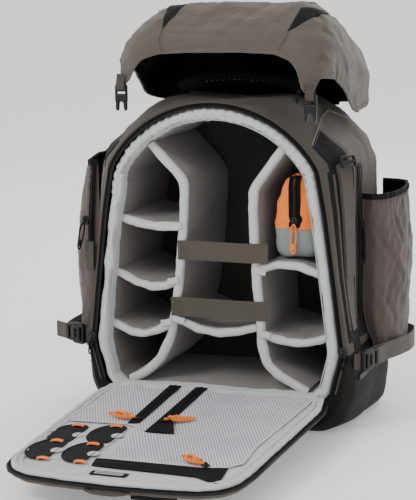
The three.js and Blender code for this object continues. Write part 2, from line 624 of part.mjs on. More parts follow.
// Sewn on the inner face: one mesh sheet, three zips that divide it, and small card pockets.
const fromHinge = (pairs) => points(pairs.map(([u, s]) => [u, -s]));
const MESH_TOP = 2;
const ZIP_TOP = 4.2;
const FLAT_TOP = 1.8;              // what lies over the liner's edge when the panel is closed stays flat
add('mesh_pockets', panelSlab(fromHinge([[-146, 12], [146, 12], [140, 120], [132, 238], [136, 300], [124, 318],
  [104, 325], [-36, 326], [-45, 200], [-62, 192], [-144, 196]]), 0.3, MESH_TOP), meshCloth, panel);
const zipBands = {
  panel_zip_left: [[-68, 14], [-56, 14], [-50, 190], [-60, 190]],
  panel_zip_centre: [[-28, 14], [-16, 14], [-11, 160], [14, 218], [-24, 221], [-25, 160]],
  panel_zip_front: [[-40, 329], [100, 329], [124, 326], [112, 345], [96, 347], [-34, 346]],
};
Object.entries(zipBands).forEach(([name, outline]) => {
  const [low, high] = name === 'panel_zip_front' ? [0.3, FLAT_TOP] : [MESH_TOP + 0.3, ZIP_TOP];
  add(name, panelSlab(fromHinge(outline), low, high), blackWeb, panel);
});
const cards = [[-117, 239, 21], [-67, 226, 19], [-115, 312, 22], [-65, 315, 22]];
const cardOutline = ([u, s, half]) => roundedRectangle(u, -s, half, 31, 16, 4);
const cardBase = roundedRectangle(-91, -276, 42, 70, 10);
add('card_pockets', join(panelSlab(cardBase, 0.3, 1.2),
  ...cards.map((card) => panelSlab(cardOutline(card), 0.3, FLAT_TOP))), blackCloth, panel);

// Cord pulls on the three zips: a slider with a soft loop.
const pulls = {
  panel_pull_left: [-55, 176, 168], panel_pull_centre: [-18, 178, 27], panel_pull_front: [98, 328, 149],
};
const pullOutline = points([[-4, -5], [4, -5], [6, 4], [24, 9], [40, 5], [44, -3], [28, -9], [8, -7]]);
Object.entries(pulls).forEach(([name, [u, s, turn]]) => {
  const pull = panelSlab(pullOutline, ZIP_TOP + 0.4, ZIP_TOP + 4.4);
  pull.rotateZ(turn * degrees).translate(u, -s, 0);
  add(name, pull, orange, panel);
});

export default bag;
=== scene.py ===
"""Looks for the camera backpack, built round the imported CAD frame."""

import math

import bmesh
import bpy
import numpy as np
from mathutils import Matrix, Vector
from mathutils.bvhtree import BVHTree
from mathutils.geometry import delaunay_2d_cdt


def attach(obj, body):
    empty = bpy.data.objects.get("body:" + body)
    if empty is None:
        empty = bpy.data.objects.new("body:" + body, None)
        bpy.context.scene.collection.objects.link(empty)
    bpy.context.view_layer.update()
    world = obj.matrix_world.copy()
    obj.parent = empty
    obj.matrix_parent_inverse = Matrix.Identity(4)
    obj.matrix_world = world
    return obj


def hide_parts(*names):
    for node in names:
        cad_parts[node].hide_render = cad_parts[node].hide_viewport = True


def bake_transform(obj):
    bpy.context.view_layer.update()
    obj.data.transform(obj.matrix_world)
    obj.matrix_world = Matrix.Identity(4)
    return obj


MM = 0.001
SIDES = (("left", -1), ("right", 1))
RAY_START = 60  # millimetres outside a surface, for laying pieces on it
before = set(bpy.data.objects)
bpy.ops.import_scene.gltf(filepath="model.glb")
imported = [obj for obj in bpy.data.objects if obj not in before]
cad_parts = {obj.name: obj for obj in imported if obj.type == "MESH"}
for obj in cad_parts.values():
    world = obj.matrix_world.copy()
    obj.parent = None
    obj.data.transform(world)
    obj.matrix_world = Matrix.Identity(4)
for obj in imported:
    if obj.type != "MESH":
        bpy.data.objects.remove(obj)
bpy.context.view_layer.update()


# ---- camera, light and floor -------------------------------------------------------------
def make_camera():
    data = bpy.data.cameras.new("camera")
    data.sensor_width, data.lens = 36, 113.99
    data.clip_start, data.clip_end = 0.1, 100
    camera = bpy.data.objects.new("camera", data)
    bpy.context.collection.objects.link(camera)
    place, aim, roll = Vector((752.4, -2185.4, 645.9)) * MM, Vector((-49.5, 0, 236.4)) * MM, -0.98
    turn = (aim - place).to_track_quat("-Z", "Y").to_matrix() @ Matrix.Rotation(math.radians(roll), 3, "Z")
    camera.matrix_world = Matrix.Translation(place) @ turn.to_4x4()
    bpy.context.scene.camera = camera


def make_light(name, place, size, power, color=(1, 1, 1)):
    data = bpy.data.lights.new(name, "AREA")
    data.shape, data.size, data.energy, data.color = "DISK", size, power, color
    light = bpy.data.objects.new(name, data)
    bpy.context.collection.objects.link(light)
    light.location = place
    light.rotation_euler = (Vector((0, -0.05, 0.25)) - Vector(place)).to_track_quat("-Z", "Y").to_euler()


def make_studio():
    world = bpy.data.worlds.new("studio")
    bpy.context.scene.world = world
    world.use_nodes = True
    sky = world.node_tree.nodes["Background"]
    sky.inputs["Color"].default_value = (1, 1, 1, 1)
    sky.inputs["Strength"].default_value = 0.86
    make_light("key", (-0.9, -2.4, 2.3), 1.2, 48)
    make_light("fill", (2.4, -1.9, 1.3), 1.8, 5)
    make_light("back", (0.6, 2.4, 2.0), 1.6, 34)


make_camera()
make_studio()


# ---- materials ---------------------------------------------------------------------------
RIPSTOP, CHEVRON, CELL = 5.5, 6.4, (4.3, 9.2)  # millimetres: grid pitch, rib width, one mesh cell


def srgb(r, g, b):
    shares = [c / 255 for c in (r, g, b)]
    linear = [c / 12.92 if c <= 0.04045 else ((c + 0.055) / 1.055) ** 2.4 for c in shares]
    return (*linear, 1)


class Nodes:
    """Short calls for building one material's node tree."""

    def __init__(self, name, rough, metal=0.0, **constant):
        self.material = bpy.data.materials.new(name)
        self.material.use_nodes = True
        self.tree = self.material.node_tree
        self.shader = self.tree.nodes["Principled BSDF"]
        self.shader.inputs["Roughness"].default_value = rough
        self.shader.inputs["Metallic"].default_value = metal
        for key, value in constant.items():
            self.shader.inputs[key.replace("_", " ")].default_value = value

    def add(self, kind, output, inputs=(), **settings):
        node = self.tree.nodes.new("ShaderNode" + kind)
        for key, value in settings.items():
            setattr(node, key, value)
        for key, value in dict(inputs).items():
            if isinstance(value, bpy.types.NodeSocket):
                self.tree.links.new(value, node.inputs[key])
            else:
                node.inputs[key].default_value = value
        return node.outputs[output]

    def math(self, operation, a, b=0.0, c=0.0):
        return self.add("Math", 0, {0: a, 1: b, 2: c}, operation=operation)

    def place(self, kind="Object"):
        return self.add("TexCoord", kind)

    def split(self, vector):
        node = self.tree.nodes.new("ShaderNodeSeparateXYZ")
        self.tree.links.new(vector, node.inputs[0])
        return node.outputs[0], node.outputs[1], node.outputs[2]

    def noise(self, vector, scale, detail=3.0, rough=0.55):
        return self.add("TexNoise", 0, {"Vector": vector, "Scale": scale, "Detail": detail,
                        "Roughness": rough})

    def mix(self, factor, a, b):
        node = self.tree.nodes.new("ShaderNodeMix")
        node.data_type = "RGBA"
        for socket, value in ((node.inputs[0], factor), (node.inputs[6], a), (node.inputs[7], b)):
            if isinstance(value, bpy.types.NodeSocket):
                self.tree.links.new(value, socket)
            else:
                socket.default_value = value
        return node.outputs[2]

    def ramp(self, value, low, high):
        return self.add("MapRange", 0, {0: value, 1: low, 2: high, 3: 0.0, 4: 1.0}, clamp=True)

    def finish(self, color, height=None, strength=0.5, reach=0.0006):
        self.link(color, "Base Color")
        if height is not None:
            bump = self.add("Bump", 0, {"Height": height, "Strength": strength, "Distance": reach})
            self.link(bump, "Normal")
        return self.material

    def link(self, value, name):
        if isinstance(value, bpy.types.NodeSocket):
            self.tree.links.new(value, self.shader.inputs[name])
        else:
            self.shader.inputs[name].default_value = value

    def worn(self, color, amount=0.35):
        """Edges that rub go a little paler."""
        edge = self.ramp(self.add("NewGeometry", "Pointiness"), 0.52, 0.62)
        pale = tuple(min(1.0, c * 1.8 + 0.03) for c in color[:3]) + (1,)
        return self.math("MULTIPLY", edge, amount), pale


def shade(color, factor):
    return tuple(c * factor for c in color[:3]) + (1,)


def cloth(name, color, pitch=1.1, rough=0.82, contrast=0.16, patches=0.14, fuzz=0.15, strength=0.55, wear=0.3,
          sheen=0.25, ripstop=0.0, gloss=0.4):
    """Woven cloth: crossing threads, uneven dye, soft creases and rubbed edges."""
    n = Nodes(name, rough, Sheen_Weight=sheen, Sheen_Roughness=0.5, Specular_IOR_Level=gloss)
    place = n.place()
    wave = n.add("VectorMath", 0, {0: place, 3: 2 * math.pi / (pitch * MM)}, operation="SCALE")
    wave = n.add("VectorMath", 0, {0: wave}, operation="SINE")
    threads = n.add("VectorMath", "Value", {0: wave, 1: (1, 1, 1)}, operation="DOT_PRODUCT")
    grain = n.noise(place, 420, 4, 0.7)
    broad = n.noise(place, 14, 4, 0.6)
    fold = n.noise(place, 26, 2, 0.5)
    thread = n.ramp(threads, -2.4, 2.4)
    base = n.mix(thread, shade(color, 1 - contrast), shade(color, 1 + contrast))
    base = n.mix(n.math("MULTIPLY", n.ramp(grain, 0.35, 0.75), fuzz), base, shade(color, 1.7))
    base = n.mix(n.math("MULTIPLY", n.ramp(broad, 0.35, 0.7), patches), base, shade(color, 0.45))
    if ripstop:
        lines = [n.ramp(n.math("SINE", n.math("MULTIPLY", axis, 2 * math.pi / (RIPSTOP * MM))), 0.9, 1)
                 for axis in n.split(place)]
        line = n.math("MAXIMUM", n.math("MAXIMUM", lines[0], lines[1]), lines[2])
        base = n.mix(n.math("MULTIPLY", line, ripstop), base, shade(color, 0.62))
    factor, pale = n.worn(color, wear)
    base = n.mix(factor, base, pale)
    height = n.math("MULTIPLY_ADD", threads, 0.16, n.math("MULTIPLY_ADD", grain, 0.5,
                    n.math("MULTIPLY", fold, 2.2)))
    return n.finish(base, height, strength, 0.0007)


def webbing_cloth(name, color, rib=1.7, rough=0.7, wear=0.25, sheen=0.2, gloss=0.35):
    """Woven strap: chevron ribs along the length and rubbed edges."""
    n = Nodes(name, rough, Sheen_Weight=sheen, Sheen_Roughness=0.45, Specular_IOR_Level=gloss)
    u, v, _ = n.split(n.place("UV"))
    share = n.math("FRACT", n.math("MULTIPLY", u, 1 / (CHEVRON * MM)))
    across = n.math("ABSOLUTE", n.math("SUBTRACT", share, 0.5))
    slanted = n.math("MULTIPLY_ADD", across, 0.0042, v)
    ribs = n.math("SINE", n.math("MULTIPLY", slanted, 2 * math.pi / (rib * MM)))
    grain = n.noise(n.place(), 520, 3, 0.7)
    broad = n.noise(n.place(), 22, 3)
    base = n.mix(n.ramp(ribs, -1, 1), shade(color, 0.72), shade(color, 1.22))
    base = n.mix(n.math("MULTIPLY", n.ramp(grain, 0.4, 0.8), 0.25), base, shade(color, 1.6))
    base = n.mix(n.math("MULTIPLY", n.ramp(broad, 0.4, 0.75), 0.25), base, shade(color, 0.6))
    factor, pale = n.worn(color, wear)
    base = n.mix(factor, base, pale)
    return n.finish(base, n.math("MULTIPLY_ADD", ribs, 0.4, grain), 0.7, 0.0005)


def lining_cloth(name, color, strength=0.6):
    """Brushed loop lining: a fine felted nap with soft mottling."""
    n = Nodes(name, 0.95, Sheen_Weight=0.35, Sheen_Roughness=0.6)
    place = n.place()
    nap = n.noise(place, 620, 4, 0.8)
    tufts = n.noise(place, 210, 3, 0.7)
    broad = n.noise(place, 18, 3)
    base = n.mix(n.ramp(nap, 0.3, 0.75), shade(color, 0.84), shade(color, 1.08))
    base = n.mix(n.math("MULTIPLY", n.ramp(tufts, 0.5, 0.75), 0.22), base, shade(color, 0.62))
    base = n.mix(n.math("MULTIPLY", n.ramp(broad, 0.4, 0.7), 0.12), base, shade(color, 0.6))
    height = n.math("MULTIPLY_ADD", nap, 0.7, n.math("MULTIPLY", tufts, 1.6))
    return n.finish(base, height, strength, 0.0007)


def moulded(name, color, rough=0.42, grain=900, wear=0.5, metal=0.0):
    """Moulded plastic or metal with a fine tooled grain, scuffs and rubbed edges."""
    n = Nodes(name, rough, metal, Specular_IOR_Level=0.5 if metal else 0.3)
    place = n.place()
    fine = n.noise(place, grain, 3, 0.6)
    scuff = n.noise(place, 60, 5, 0.7)
    base = n.mix(n.math("MULTIPLY", n.ramp(scuff, 0.55, 0.8), 0.35), color, shade(color, 2.4))
    factor, pale = n.worn(color, wear)
    base = n.mix(factor, base, pale)
    n.link(n.add("MapRange", 0, {0: scuff, 1: 0.3, 2: 0.8, 3: rough - 0.08, 4: rough + 0.16}), "Roughness")
    return n.finish(base, fine, 0.25, 0.0003)


def net_cloth(name, thread, hole):
    """Knitted mesh: rows of small open cells, filled with the lining's colour darkened as painted shade."""
    n = Nodes(name, 0.7, Sheen_Weight=0.3)
    x, y, _ = n.split(n.place())
    a = n.math("MULTIPLY", x, 1 / (CELL[0] * MM))
    b = n.math("MULTIPLY", y, 1 / (CELL[1] * MM))
    first = n.math("COSINE", n.math("MULTIPLY", n.math("ADD", a, b), math.pi))
    second = n.math("COSINE", n.math("MULTIPLY", n.math("SUBTRACT", a, b), math.pi))
    cell = n.math("ABSOLUTE", n.math("MULTIPLY", first, second))
    tint = n.noise(n.place(), 16, 3)
    opening = n.ramp(cell, 0.3, 0.62)
    base = n.mix(n.ramp(tint, 0.35, 0.7), thread, shade(thread, 0.82))
    # The cells get the hole colour: the lining behind, painted darker as shade in the gaps.
    base = n.mix(opening, base, hole)
    return n.finish(base, n.math("SUBTRACT", 1.0, opening), 0.6, 0.0006)


TAUPE = srgb(84, 75, 67)
M = {
    "taupe": cloth("taupe_cloth", TAUPE, ripstop=0.35),
    "shell": cloth("body_cloth", srgb(68, 61, 54), ripstop=0.35, sheen=0.15),
    "pocket": cloth("pocket_cloth", srgb(80, 68, 64), ripstop=0.2),
    "taupe_web": webbing_cloth("taupe_webbing", srgb(66, 58, 51)),
    "retainer": webbing_cloth("retainer_webbing", srgb(76, 70, 62), rib=1.2),
    "black": cloth("black_cloth", srgb(15, 14, 16), contrast=0.2, sheen=0.03, rough=0.7, wear=0.25,
                   gloss=0.16),
    "dark": cloth("lid_lining", srgb(14, 12, 15), contrast=0.15, sheen=0.02, rough=0.9, gloss=0.12),
    "black_web": webbing_cloth("black_webbing", srgb(15, 14, 16), sheen=0.04, gloss=0.18),
    "tape": webbing_cloth("zip_tape", srgb(11, 10, 12), rib=0.9, sheen=0.02, gloss=0.12),
    "plastic": moulded("black_plastic", srgb(15, 16, 18)),
    "coil": moulded("zip_coil", srgb(30, 29, 29), 0.36),
    "lining": lining_cloth("grey_lining", srgb(197, 199, 200)),
    # Darker grey for the divider sides and the bay's inner walls: partly the cloth's own tone, partly painted
    # shade.
    "divider": lining_cloth("divider_cloth", srgb(104, 97, 89)),
    # The second colour is the lining seen in the mesh cells, darkened as painted shade.
    "net": net_cloth("pocket_mesh", srgb(232, 230, 238), srgb(104, 102, 116)),
    "pad": cloth("spacer_mesh", srgb(24, 23, 25), pitch=2.6, contrast=0.4, strength=0.9, rough=0.9,
                 sheen=0.05, gloss=0.2),
    "orange": cloth("orange_cloth", srgb(246, 126, 34), contrast=0.08, patches=0.1, sheen=0.2, wear=0.15),
    "pouch_grey": cloth("pouch_cloth", srgb(128, 137, 133), contrast=0.1),
    "cord": webbing_cloth("orange_cord", srgb(250, 140, 48), rib=1.6),
    "thread": cloth("sewing_thread", srgb(86, 80, 73), pitch=0.6),
    "pale_thread": cloth("pale_thread", srgb(168, 168, 165), pitch=0.6),
    # Near-black for the bay's back wall: painted shade for the depth of the bay, not the lining's own colour.
    "bay": lining_cloth("bay_lining", srgb(52, 49, 47)),
    # Pale piping over the shoulders: a real seam, but its pale tone is a painted highlight along the edge.
    "seam": cloth("pale_seam", srgb(128, 116, 101), pitch=0.6),
    "alloy": moulded("alloy", srgb(172, 175, 178), 0.3, metal=0.95),
    "board": moulded("board", srgb(44, 47, 50), 0.55),
}


# ---- geometry helpers --------------------------------------------------------------------
def array(points):
    return np.asarray(points, float)


def unit(vectors):
    vectors = array(vectors)
    return vectors / np.maximum(np.linalg.norm(vectors, axis=-1, keepdims=True), 1e-9)


def outward_of(normals, away):
    """The normals, turned to the side that away points to."""
    return normals * np.sign((normals * away).sum(-1, keepdims=True) + 1e-9)


def raised(flat, height):
    """Plan positions with a height."""
    return np.column_stack([flat, np.full(len(flat), float(height))])


def level(height):
    """A flat face for patch()."""
    return lambda flat, d: np.full(len(flat), float(height))


def lengths(path, closed=False):
    loop = np.vstack([path, path[:1]]) if closed else path
    return np.concatenate([[0], np.cumsum(np.linalg.norm(np.diff(loop, axis=0), axis=1))])


def spread(path, count, closed=False):
    """The same line with evenly spaced points."""
    path = array(path)
    loop = np.vstack([path, path[:1]]) if closed else path
    along = lengths(loop)
    at = np.linspace(0, along[-1], count, endpoint=not closed)
    return np.stack([np.interp(at, along, loop[:, k]) for k in range(path.shape[1])], 1)


def soften(path, times, closed=False):
    """Rounds a line's corners; an open line keeps its ends."""
    path = array(path).copy()
    for _ in range(times):
        before, after = np.roll(path, 1, 0), np.roll(path, -1, 0)
        moved = path * 0.5 + (before + after) * 0.25
        if not closed:
            moved[0], moved[-1] = path[0], path[-1]
        path = moved
    return path


def curve(path, count, times=6, closed=False):
    return spread(soften(spread(path, count, closed), times, closed), count, closed)


def tangents(path, closed=False):
    if closed:
        return unit(np.roll(path, -1, 0) - np.roll(path, 1, 0))
    return unit(np.gradient(path, axis=0))


def grow(outline, distance):
    """A closed anticlockwise outline moved outwards."""
    t = tangents(outline, True)
    return outline + np.stack([t[:, 1], -t[:, 0]], 1) * np.reshape(distance, (-1, 1))


def ripple(points, size, seed, waves=9):
    """A smooth, repeatable unevenness with waves of about the given size."""
    draw = np.random.default_rng(seed)
    total = np.zeros(points.shape[:-1])
    for _ in range(waves):
        direction = unit(draw.normal(size=3))
        rate = 2 * math.pi / (size * draw.uniform(0.6, 1.7))
        total += np.sin(points @ direction * rate + draw.uniform(0, 6.28))
    return total / math.sqrt(waves)


def grid_normals(grid, closed_rows=False, closed_cols=False):
    def slope(axis, closed):
        if closed:
            return np.roll(grid, -1, axis) - np.roll(grid, 1, axis)
        return np.gradient(grid, axis=axis)
    return unit(np.cross(slope(1, closed_cols), slope(0, closed_rows)))


def crease(points, start, end, width):
    """How near points are to a line, from 0 to 1, for folds and sewn channels."""
    start, end = array(start), array(end)
    line = end - start
    share = np.clip(((points - start) @ line) / (line @ line), 0, 1)
    distance = np.linalg.norm(points - start - share[..., None] * line, axis=-1)
    return np.exp(-(distance / width) ** 2)


def folds(points, lines, beside):
    """Valleys with a ridge beside each; lines holds their starts, ends, widths and depths."""
    total = np.zeros(points.shape[:-1])
    for start, end, width, depth in lines:
        ridge = crease(points, array(start) + beside, array(end) + beside, width)
        total -= depth * crease(points, start, end, width) - 0.8 * depth * ridge
    return total


def ellipse(width, height, count=12):
    turn = np.linspace(0, 2 * math.pi, count, endpoint=False)
    return np.stack([np.cos(turn) * width / 2, np.sin(turn) * height / 2], 1)


def flat_section(width, height, corner=None):
    """A strap's cross-section with soft edges."""
    c = min(width, height) * 0.32 if corner is None else corner
    w, h = width / 2, height / 2
    return array([(-w, -h + c), (-w + c, -h), (0, -h), (w - c, -h), (w, -h + c), (w, h - c), (w - c, h),
                  (0, h), (-w + c, h), (-w, h - c)])


def rounded(width, height, radius, steps=5):
    """A rectangle with round corners, anticlockwise, about the origin."""
    points = []
    for sx, sy, start in ((1, -1, -90), (1, 1, 0), (-1, 1, 90), (-1, -1, 180)):
        for k in range(steps + 1):
            a = math.radians(start + 90 * k / steps)
            points.append((sx * (width / 2 - radius) + radius * math.cos(a),
                           sy * (height / 2 - radius) + radius * math.sin(a)))
    return array(points)


def piece(name, vertices, faces, kind, body, uv=None, kinds=None, sharp=42, replaces=(), modifiers=()):
    """A mesh object in the row frame. kinds gives each face one of several finishes."""
    kind = [kind] if isinstance(kind, str) else list(kind)
    mesh = bpy.data.meshes.new(name)
    mesh.from_pydata((array(vertices) * MM).tolist(), [], [list(map(int, f)) for f in faces])
    for k in kind:
        mesh.materials.append(M[k])
    mesh.polygons.foreach_set("use_smooth", [True] * len(mesh.polygons))
    if kinds is not None:
        mesh.polygons.foreach_set("material_index", np.asarray(kinds, np.int32))
    if uv is not None:
        layer = mesh.uv_layers.new(name="UVMap")
        layer.data.foreach_set("uv", (array(uv) * MM).ravel().astype(np.float32))
    mesh.set_sharp_from_angle(angle=math.radians(sharp))
    mesh.update()
    thing = bpy.data.objects.new(name, mesh)
    bpy.context.collection.objects.link(thing)
    return settle(thing, kind[0], body, replaces, modifiers)


def bent(thing):
    """A piece of cloth between the bag and a moving part, its placement baked into its mesh."""
    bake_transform(thing)


def settle(thing, kind, body, replaces=(), modifiers=()):
    for kind_of, settings in modifiers:
        modifier = thing.modifiers.new(kind_of.lower(), kind_of)
        for key, value in settings.items():
            setattr(modifier, key, value)
    if body:
        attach(thing, body)
    if replaces:
        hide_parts(*replaces)
    return thing


def skin(grid, closed_rows=False, closed_cols=False, caps=False):
    """Vertices, faces and face-corner UVs, in millimetres, of a grid of points."""
    rows, cols = grid.shape[:2]
    across = np.mean([lengths(row, closed_cols) for row in grid], 0)
    along = np.mean([lengths(grid[:, c], closed_rows) for c in range(cols)], 0)
    faces, uv = [], []
    for r in range(rows if closed_rows else rows - 1):
        for c in range(cols if closed_cols else cols - 1):
            s, d = (r + 1) % rows, (c + 1) % cols
            faces.append((r * cols + c, r * cols + d, s * cols + d, s * cols + c))
            uv += [(across[c], along[r]), (across[c + 1], along[r]), (across[c + 1], along[r + 1]),
                   (across[c], along[r + 1])]
    if caps:
        for row, flip in ((0, True), (rows - 1, False)):
            ring = [row * cols + c for c in range(cols)]
            faces.append(ring[::-1] if flip else ring)
            uv += [(across[c], along[row]) for c in range(cols)]
    return grid.reshape(-1, 3), faces, uv


def relax(grid, times):
    """A grid smoothed from row to row; its first and last rows stay."""
    for _ in range(times):
        grid[1:-1] = grid[1:-1] * 0.5 + (grid[:-2] + grid[2:]) * 0.25
    return grid


def surface(name, grid, kind, body, closed_rows=False, closed_cols=False, caps=False, **more):
    vertices, faces, uv = skin(grid, closed_rows, closed_cols, caps)
    return piece(name, vertices, faces, kind, body, uv, **more)


def frames(path, normals, closed=False):
    t = tangents(path, closed)
    across = unit(np.cross(t, normals))
    return across, unit(np.cross(across, t))


def sweep(path, normals, section, closed=False, widths=None, heights=None):
    """A section carried along a path; its second axis follows the normals."""
    path = array(path)
    normals = np.broadcast_to(array(normals), path.shape)
    across, up = frames(path, normals, closed)
    widths = np.ones(len(path)) if widths is None else array(widths)
    heights = np.ones(len(path)) if heights is None else array(heights)
    sideways = across[:, None] * section[None, :, :1] * widths[:, None, None]
    return path[:, None] + sideways + up[:, None] * section[None, :, 1:] * heights[:, None, None]


def strap(name, path, normals, width, height, kind, body="bag", closed=False, **more):
    grid = sweep(path, normals, flat_section(width, height), closed)
    return surface(name, grid, kind, body, closed_rows=closed, closed_cols=True, caps=not closed, **more)


def tube(name, path, radius, kind, body="bag", closed=False, sides=8, normal=(0.13, 0.21, 0.97), **more):
    grid = sweep(path, normal, ellipse(2 * radius, 2 * radius, sides), closed)
    return surface(name, grid, kind, body, closed_rows=closed, closed_cols=True, caps=not closed, **more)


def beads(name, path, normals, size, pitch, kind, body="bag", closed=False):
    """Small blocks in a row: zip teeth or stitches. size is across, high and along."""
    path = array(path)
    total = lengths(path, closed)[-1]
    count = max(2, int(total / pitch))
    places = spread(path, count, closed)
    normals = np.broadcast_to(array(normals), path.shape)
    across, up = frames(path, normals, closed)
    index = np.linspace(0, len(path) - (0 if closed else 1), count, endpoint=not closed)
    near = np.minimum(np.round(index).astype(int), len(path) - 1)
    t = np.cross(up[near], across[near])
    w, h, l = (s / 2 for s in size)
    corners = array([(x, y, z) for z in (-l, l) for x, y in ((-w, -h), (w, -h), (w * 0.8, h), (-w * 0.8, h))])
    offsets = (across[near][:, None] * corners[None, :, :1] + up[near][:, None] * corners[None, :, 1:2]
               + t[:, None] * corners[None, :, 2:])
    vertices = (places[:, None] + offsets).reshape(-1, 3)
    block = [(3, 2, 1, 0), (4, 5, 6, 7), (0, 1, 5, 4), (1, 2, 6, 5), (2, 3, 7, 6), (3, 0, 4, 7)]
    faces = [tuple(8 * i + v for v in face) for i in range(count) for face in block]
    return piece(name, vertices, faces, kind, body, sharp=25)


def cut_plate(name, outlines, thickness, bevel, kind, body, matrix, **more):
    """A flat plate with holes and eased edges, from outlines drawn in x and y."""
    data = bpy.data.curves.new(name, "CURVE")
    data.dimensions, data.fill_mode, data.resolution_u = "2D", "BOTH", 1
    data.bevel_depth, data.bevel_resolution = bevel * MM, 2
    data.extrude = (thickness / 2 - bevel) * MM
    data.offset = -bevel * MM
    for outline in outlines:
        line = data.splines.new("POLY")
        line.points.add(len(outline) - 1)
        for point, (x, y) in zip(line.points, outline):
            point.co = (x * MM, y * MM, 0, 1)
        line.use_cyclic_u = True
    shape = bpy.data.objects.new(name + "_outline", data)
    bpy.context.collection.objects.link(shape)
    mesh = bpy.data.meshes.new_from_object(shape)
    bpy.data.objects.remove(shape)
    mesh.name = name
    mesh.materials.clear()
    mesh.materials.append(M[kind])
    weld = bmesh.new()
    weld.from_mesh(mesh)
    bmesh.ops.remove_doubles(weld, verts=weld.verts, dist=1e-6)
    bmesh.ops.recalc_face_normals(weld, faces=weld.faces)
    weld.to_mesh(mesh)
    weld.free()
    mesh.transform(matrix)
    mesh.polygons.foreach_set("use_smooth", [True] * len(mesh.polygons))
    mesh.set_sharp_from_angle(angle=math.radians(40))
    thing = bpy.data.objects.new(name, mesh)
    bpy.context.collection.objects.link(thing)
    return settle(thing, kind, body, **more)


def bundle(name, skins, kind, body, **more):
    """One piece made of several skins."""
    vertices, faces, uv, count = [], [], [], 0
    for points, sides, texture in skins:
        vertices.append(points)
        faces += [tuple(i + count for i in face) for face in sides]
        uv += texture
        count += len(points)
    return piece(name, np.vstack(vertices), faces, kind, body, uv, **more)


def basis(place, right, up, out):
    """A matrix that puts local x, y, z along right, up, out at a place in millimetres."""
    columns = [unit(v) for v in (right, up, out)]
    m = Matrix.Identity(4)
    for k in range(3):
        for row in range(3):
            m[row][k] = columns[k][row]
        m[k][3] = place[k] * MM
    return m


def tree_of(thing):
    mesh = thing.data
    return BVHTree.FromPolygons([v.co for v in mesh.vertices], [list(p.vertices) for p in mesh.polygons])


def drape(tree, origins, direction, lift):
    """Points that meet a surface along a direction, raised off it, with its normals there."""
    ray = Vector(direction).normalized()
    points, normals = [], []
    for origin in array(origins).reshape(-1, 3):
        hit, normal, _, _ = tree.ray_cast(Vector(origin) * MM, ray)
        if hit is None:
            hit, normal, _, _ = tree.find_nearest(Vector(origin) * MM)
        if normal.dot(ray) > 0:
            normal = -normal
        points.append((hit + normal * lift * MM) / MM)
        normals.append(normal)
    return array(points), array(normals)


def mirrored(half):
    """A closed outline from its right half, which runs from the bottom to the top."""
    half = array(half)
    left = half[half[:, 0] > 0.01][::-1] * (-1, 1)
    return np.vstack([half, left])


def signed_area(outline):
    """Positive for an anticlockwise outline."""
    x, y = outline.T
    return (x * np.roll(y, -1) - y * np.roll(x, -1)).sum() / 2


def edge_distance(points, outline):
    a, b = outline, np.roll(outline, -1, 0)
    line = b - a
    share = np.einsum("pkc,kc->pk", points[:, None] - a, line) / np.maximum((line ** 2).sum(1), 1e-9)
    near = a + np.clip(share, 0, 1)[..., None] * line
    return np.linalg.norm(points[:, None] - near, axis=2).min(1)


def inside(points, outline):
    a, b = outline, np.roll(outline, -1, 0)
    x, y = points[:, :1], points[:, 1:]
    rise = np.where(b[:, 1] == a[:, 1], 1e-9, b[:, 1] - a[:, 1])
    crosses = ((a[:, 1] > y) != (b[:, 1] > y)) & (x < (b[:, 0] - a[:, 0]) * (y - a[:, 1]) / rise + a[:, 0])
    return crosses.sum(1) % 2 == 1


def patch(name, outline, place, kind, body, top, under=None, step=8.0, rings=(1.2, 3.5), **more):
    """A flat outline filled with a fine net. top and under give its two faces' heights from the plan
    position and the distance to the edge; without under it is a single sheet."""
    around = lengths(array(outline), True)[-1]
    outline = spread(outline, int(around / (step * 0.7)), True)
    low, high = outline.min(0), outline.max(0)
    u, v = np.meshgrid(np.arange(low[0] + step / 2, high[0], step),
                       np.arange(low[1] + step / 2, high[1], step))
    inner = np.stack([u.ravel(), v.ravel()], 1)
    inner = inner[inside(inner, outline)]
    inner = inner[edge_distance(inner, outline) > max(rings) + step * 0.4]
    for ring in rings:
        loop = grow(outline, -ring)
        loop = loop[inside(loop, outline)]
        inner = np.vstack([inner, loop[edge_distance(loop, outline) > ring * 0.85]])
    points = np.vstack([outline, inner])
    count = len(outline)
    flat, _, faces, _, _, _ = delaunay_2d_cdt([Vector(p) for p in points], [], [list(range(count))], 1, 1e-7)
    flat = array([tuple(p) for p in flat])
    distance = edge_distance(flat, outline)
    upper = place(np.column_stack([flat, top(flat, distance)]))
    if under is None:
        uv = [flat[i] for face in faces for i in face]
        return piece(name, upper, faces, kind, body, uv, **more)
    lower = place(np.column_stack([flat, under(flat, distance)]))
    size = len(flat)
    sides = [tuple(i + size for i in reversed(face)) for face in faces]
    rim_edges = [((k + 1) % count, k, k + size, (k + 1) % count + size) for k in range(count)]
    every = list(faces) + sides + rim_edges
    uv = [flat[i % size] for face in every for i in face]
    return piece(name, np.vstack([upper, lower]), every, kind, body, uv, **more)


def sheet_thickness(value, offset=0.0, inner=0):
    return ("SOLIDIFY", {"thickness": value * MM, "offset": offset, "material_offset": inner})


def halves(thing, height, keep_above):
    """Keeps what is above or below a level."""
    mesh = bmesh.new()
    mesh.from_mesh(thing.data)
    bmesh.ops.bisect_plane(mesh, geom=mesh.verts[:] + mesh.edges[:] + mesh.faces[:],
                           plane_co=(0, 0, height * MM), plane_no=(0, 0, 1), clear_inner=keep_above,
                           clear_outer=not keep_above)
    mesh.to_mesh(thing.data)
    mesh.free()


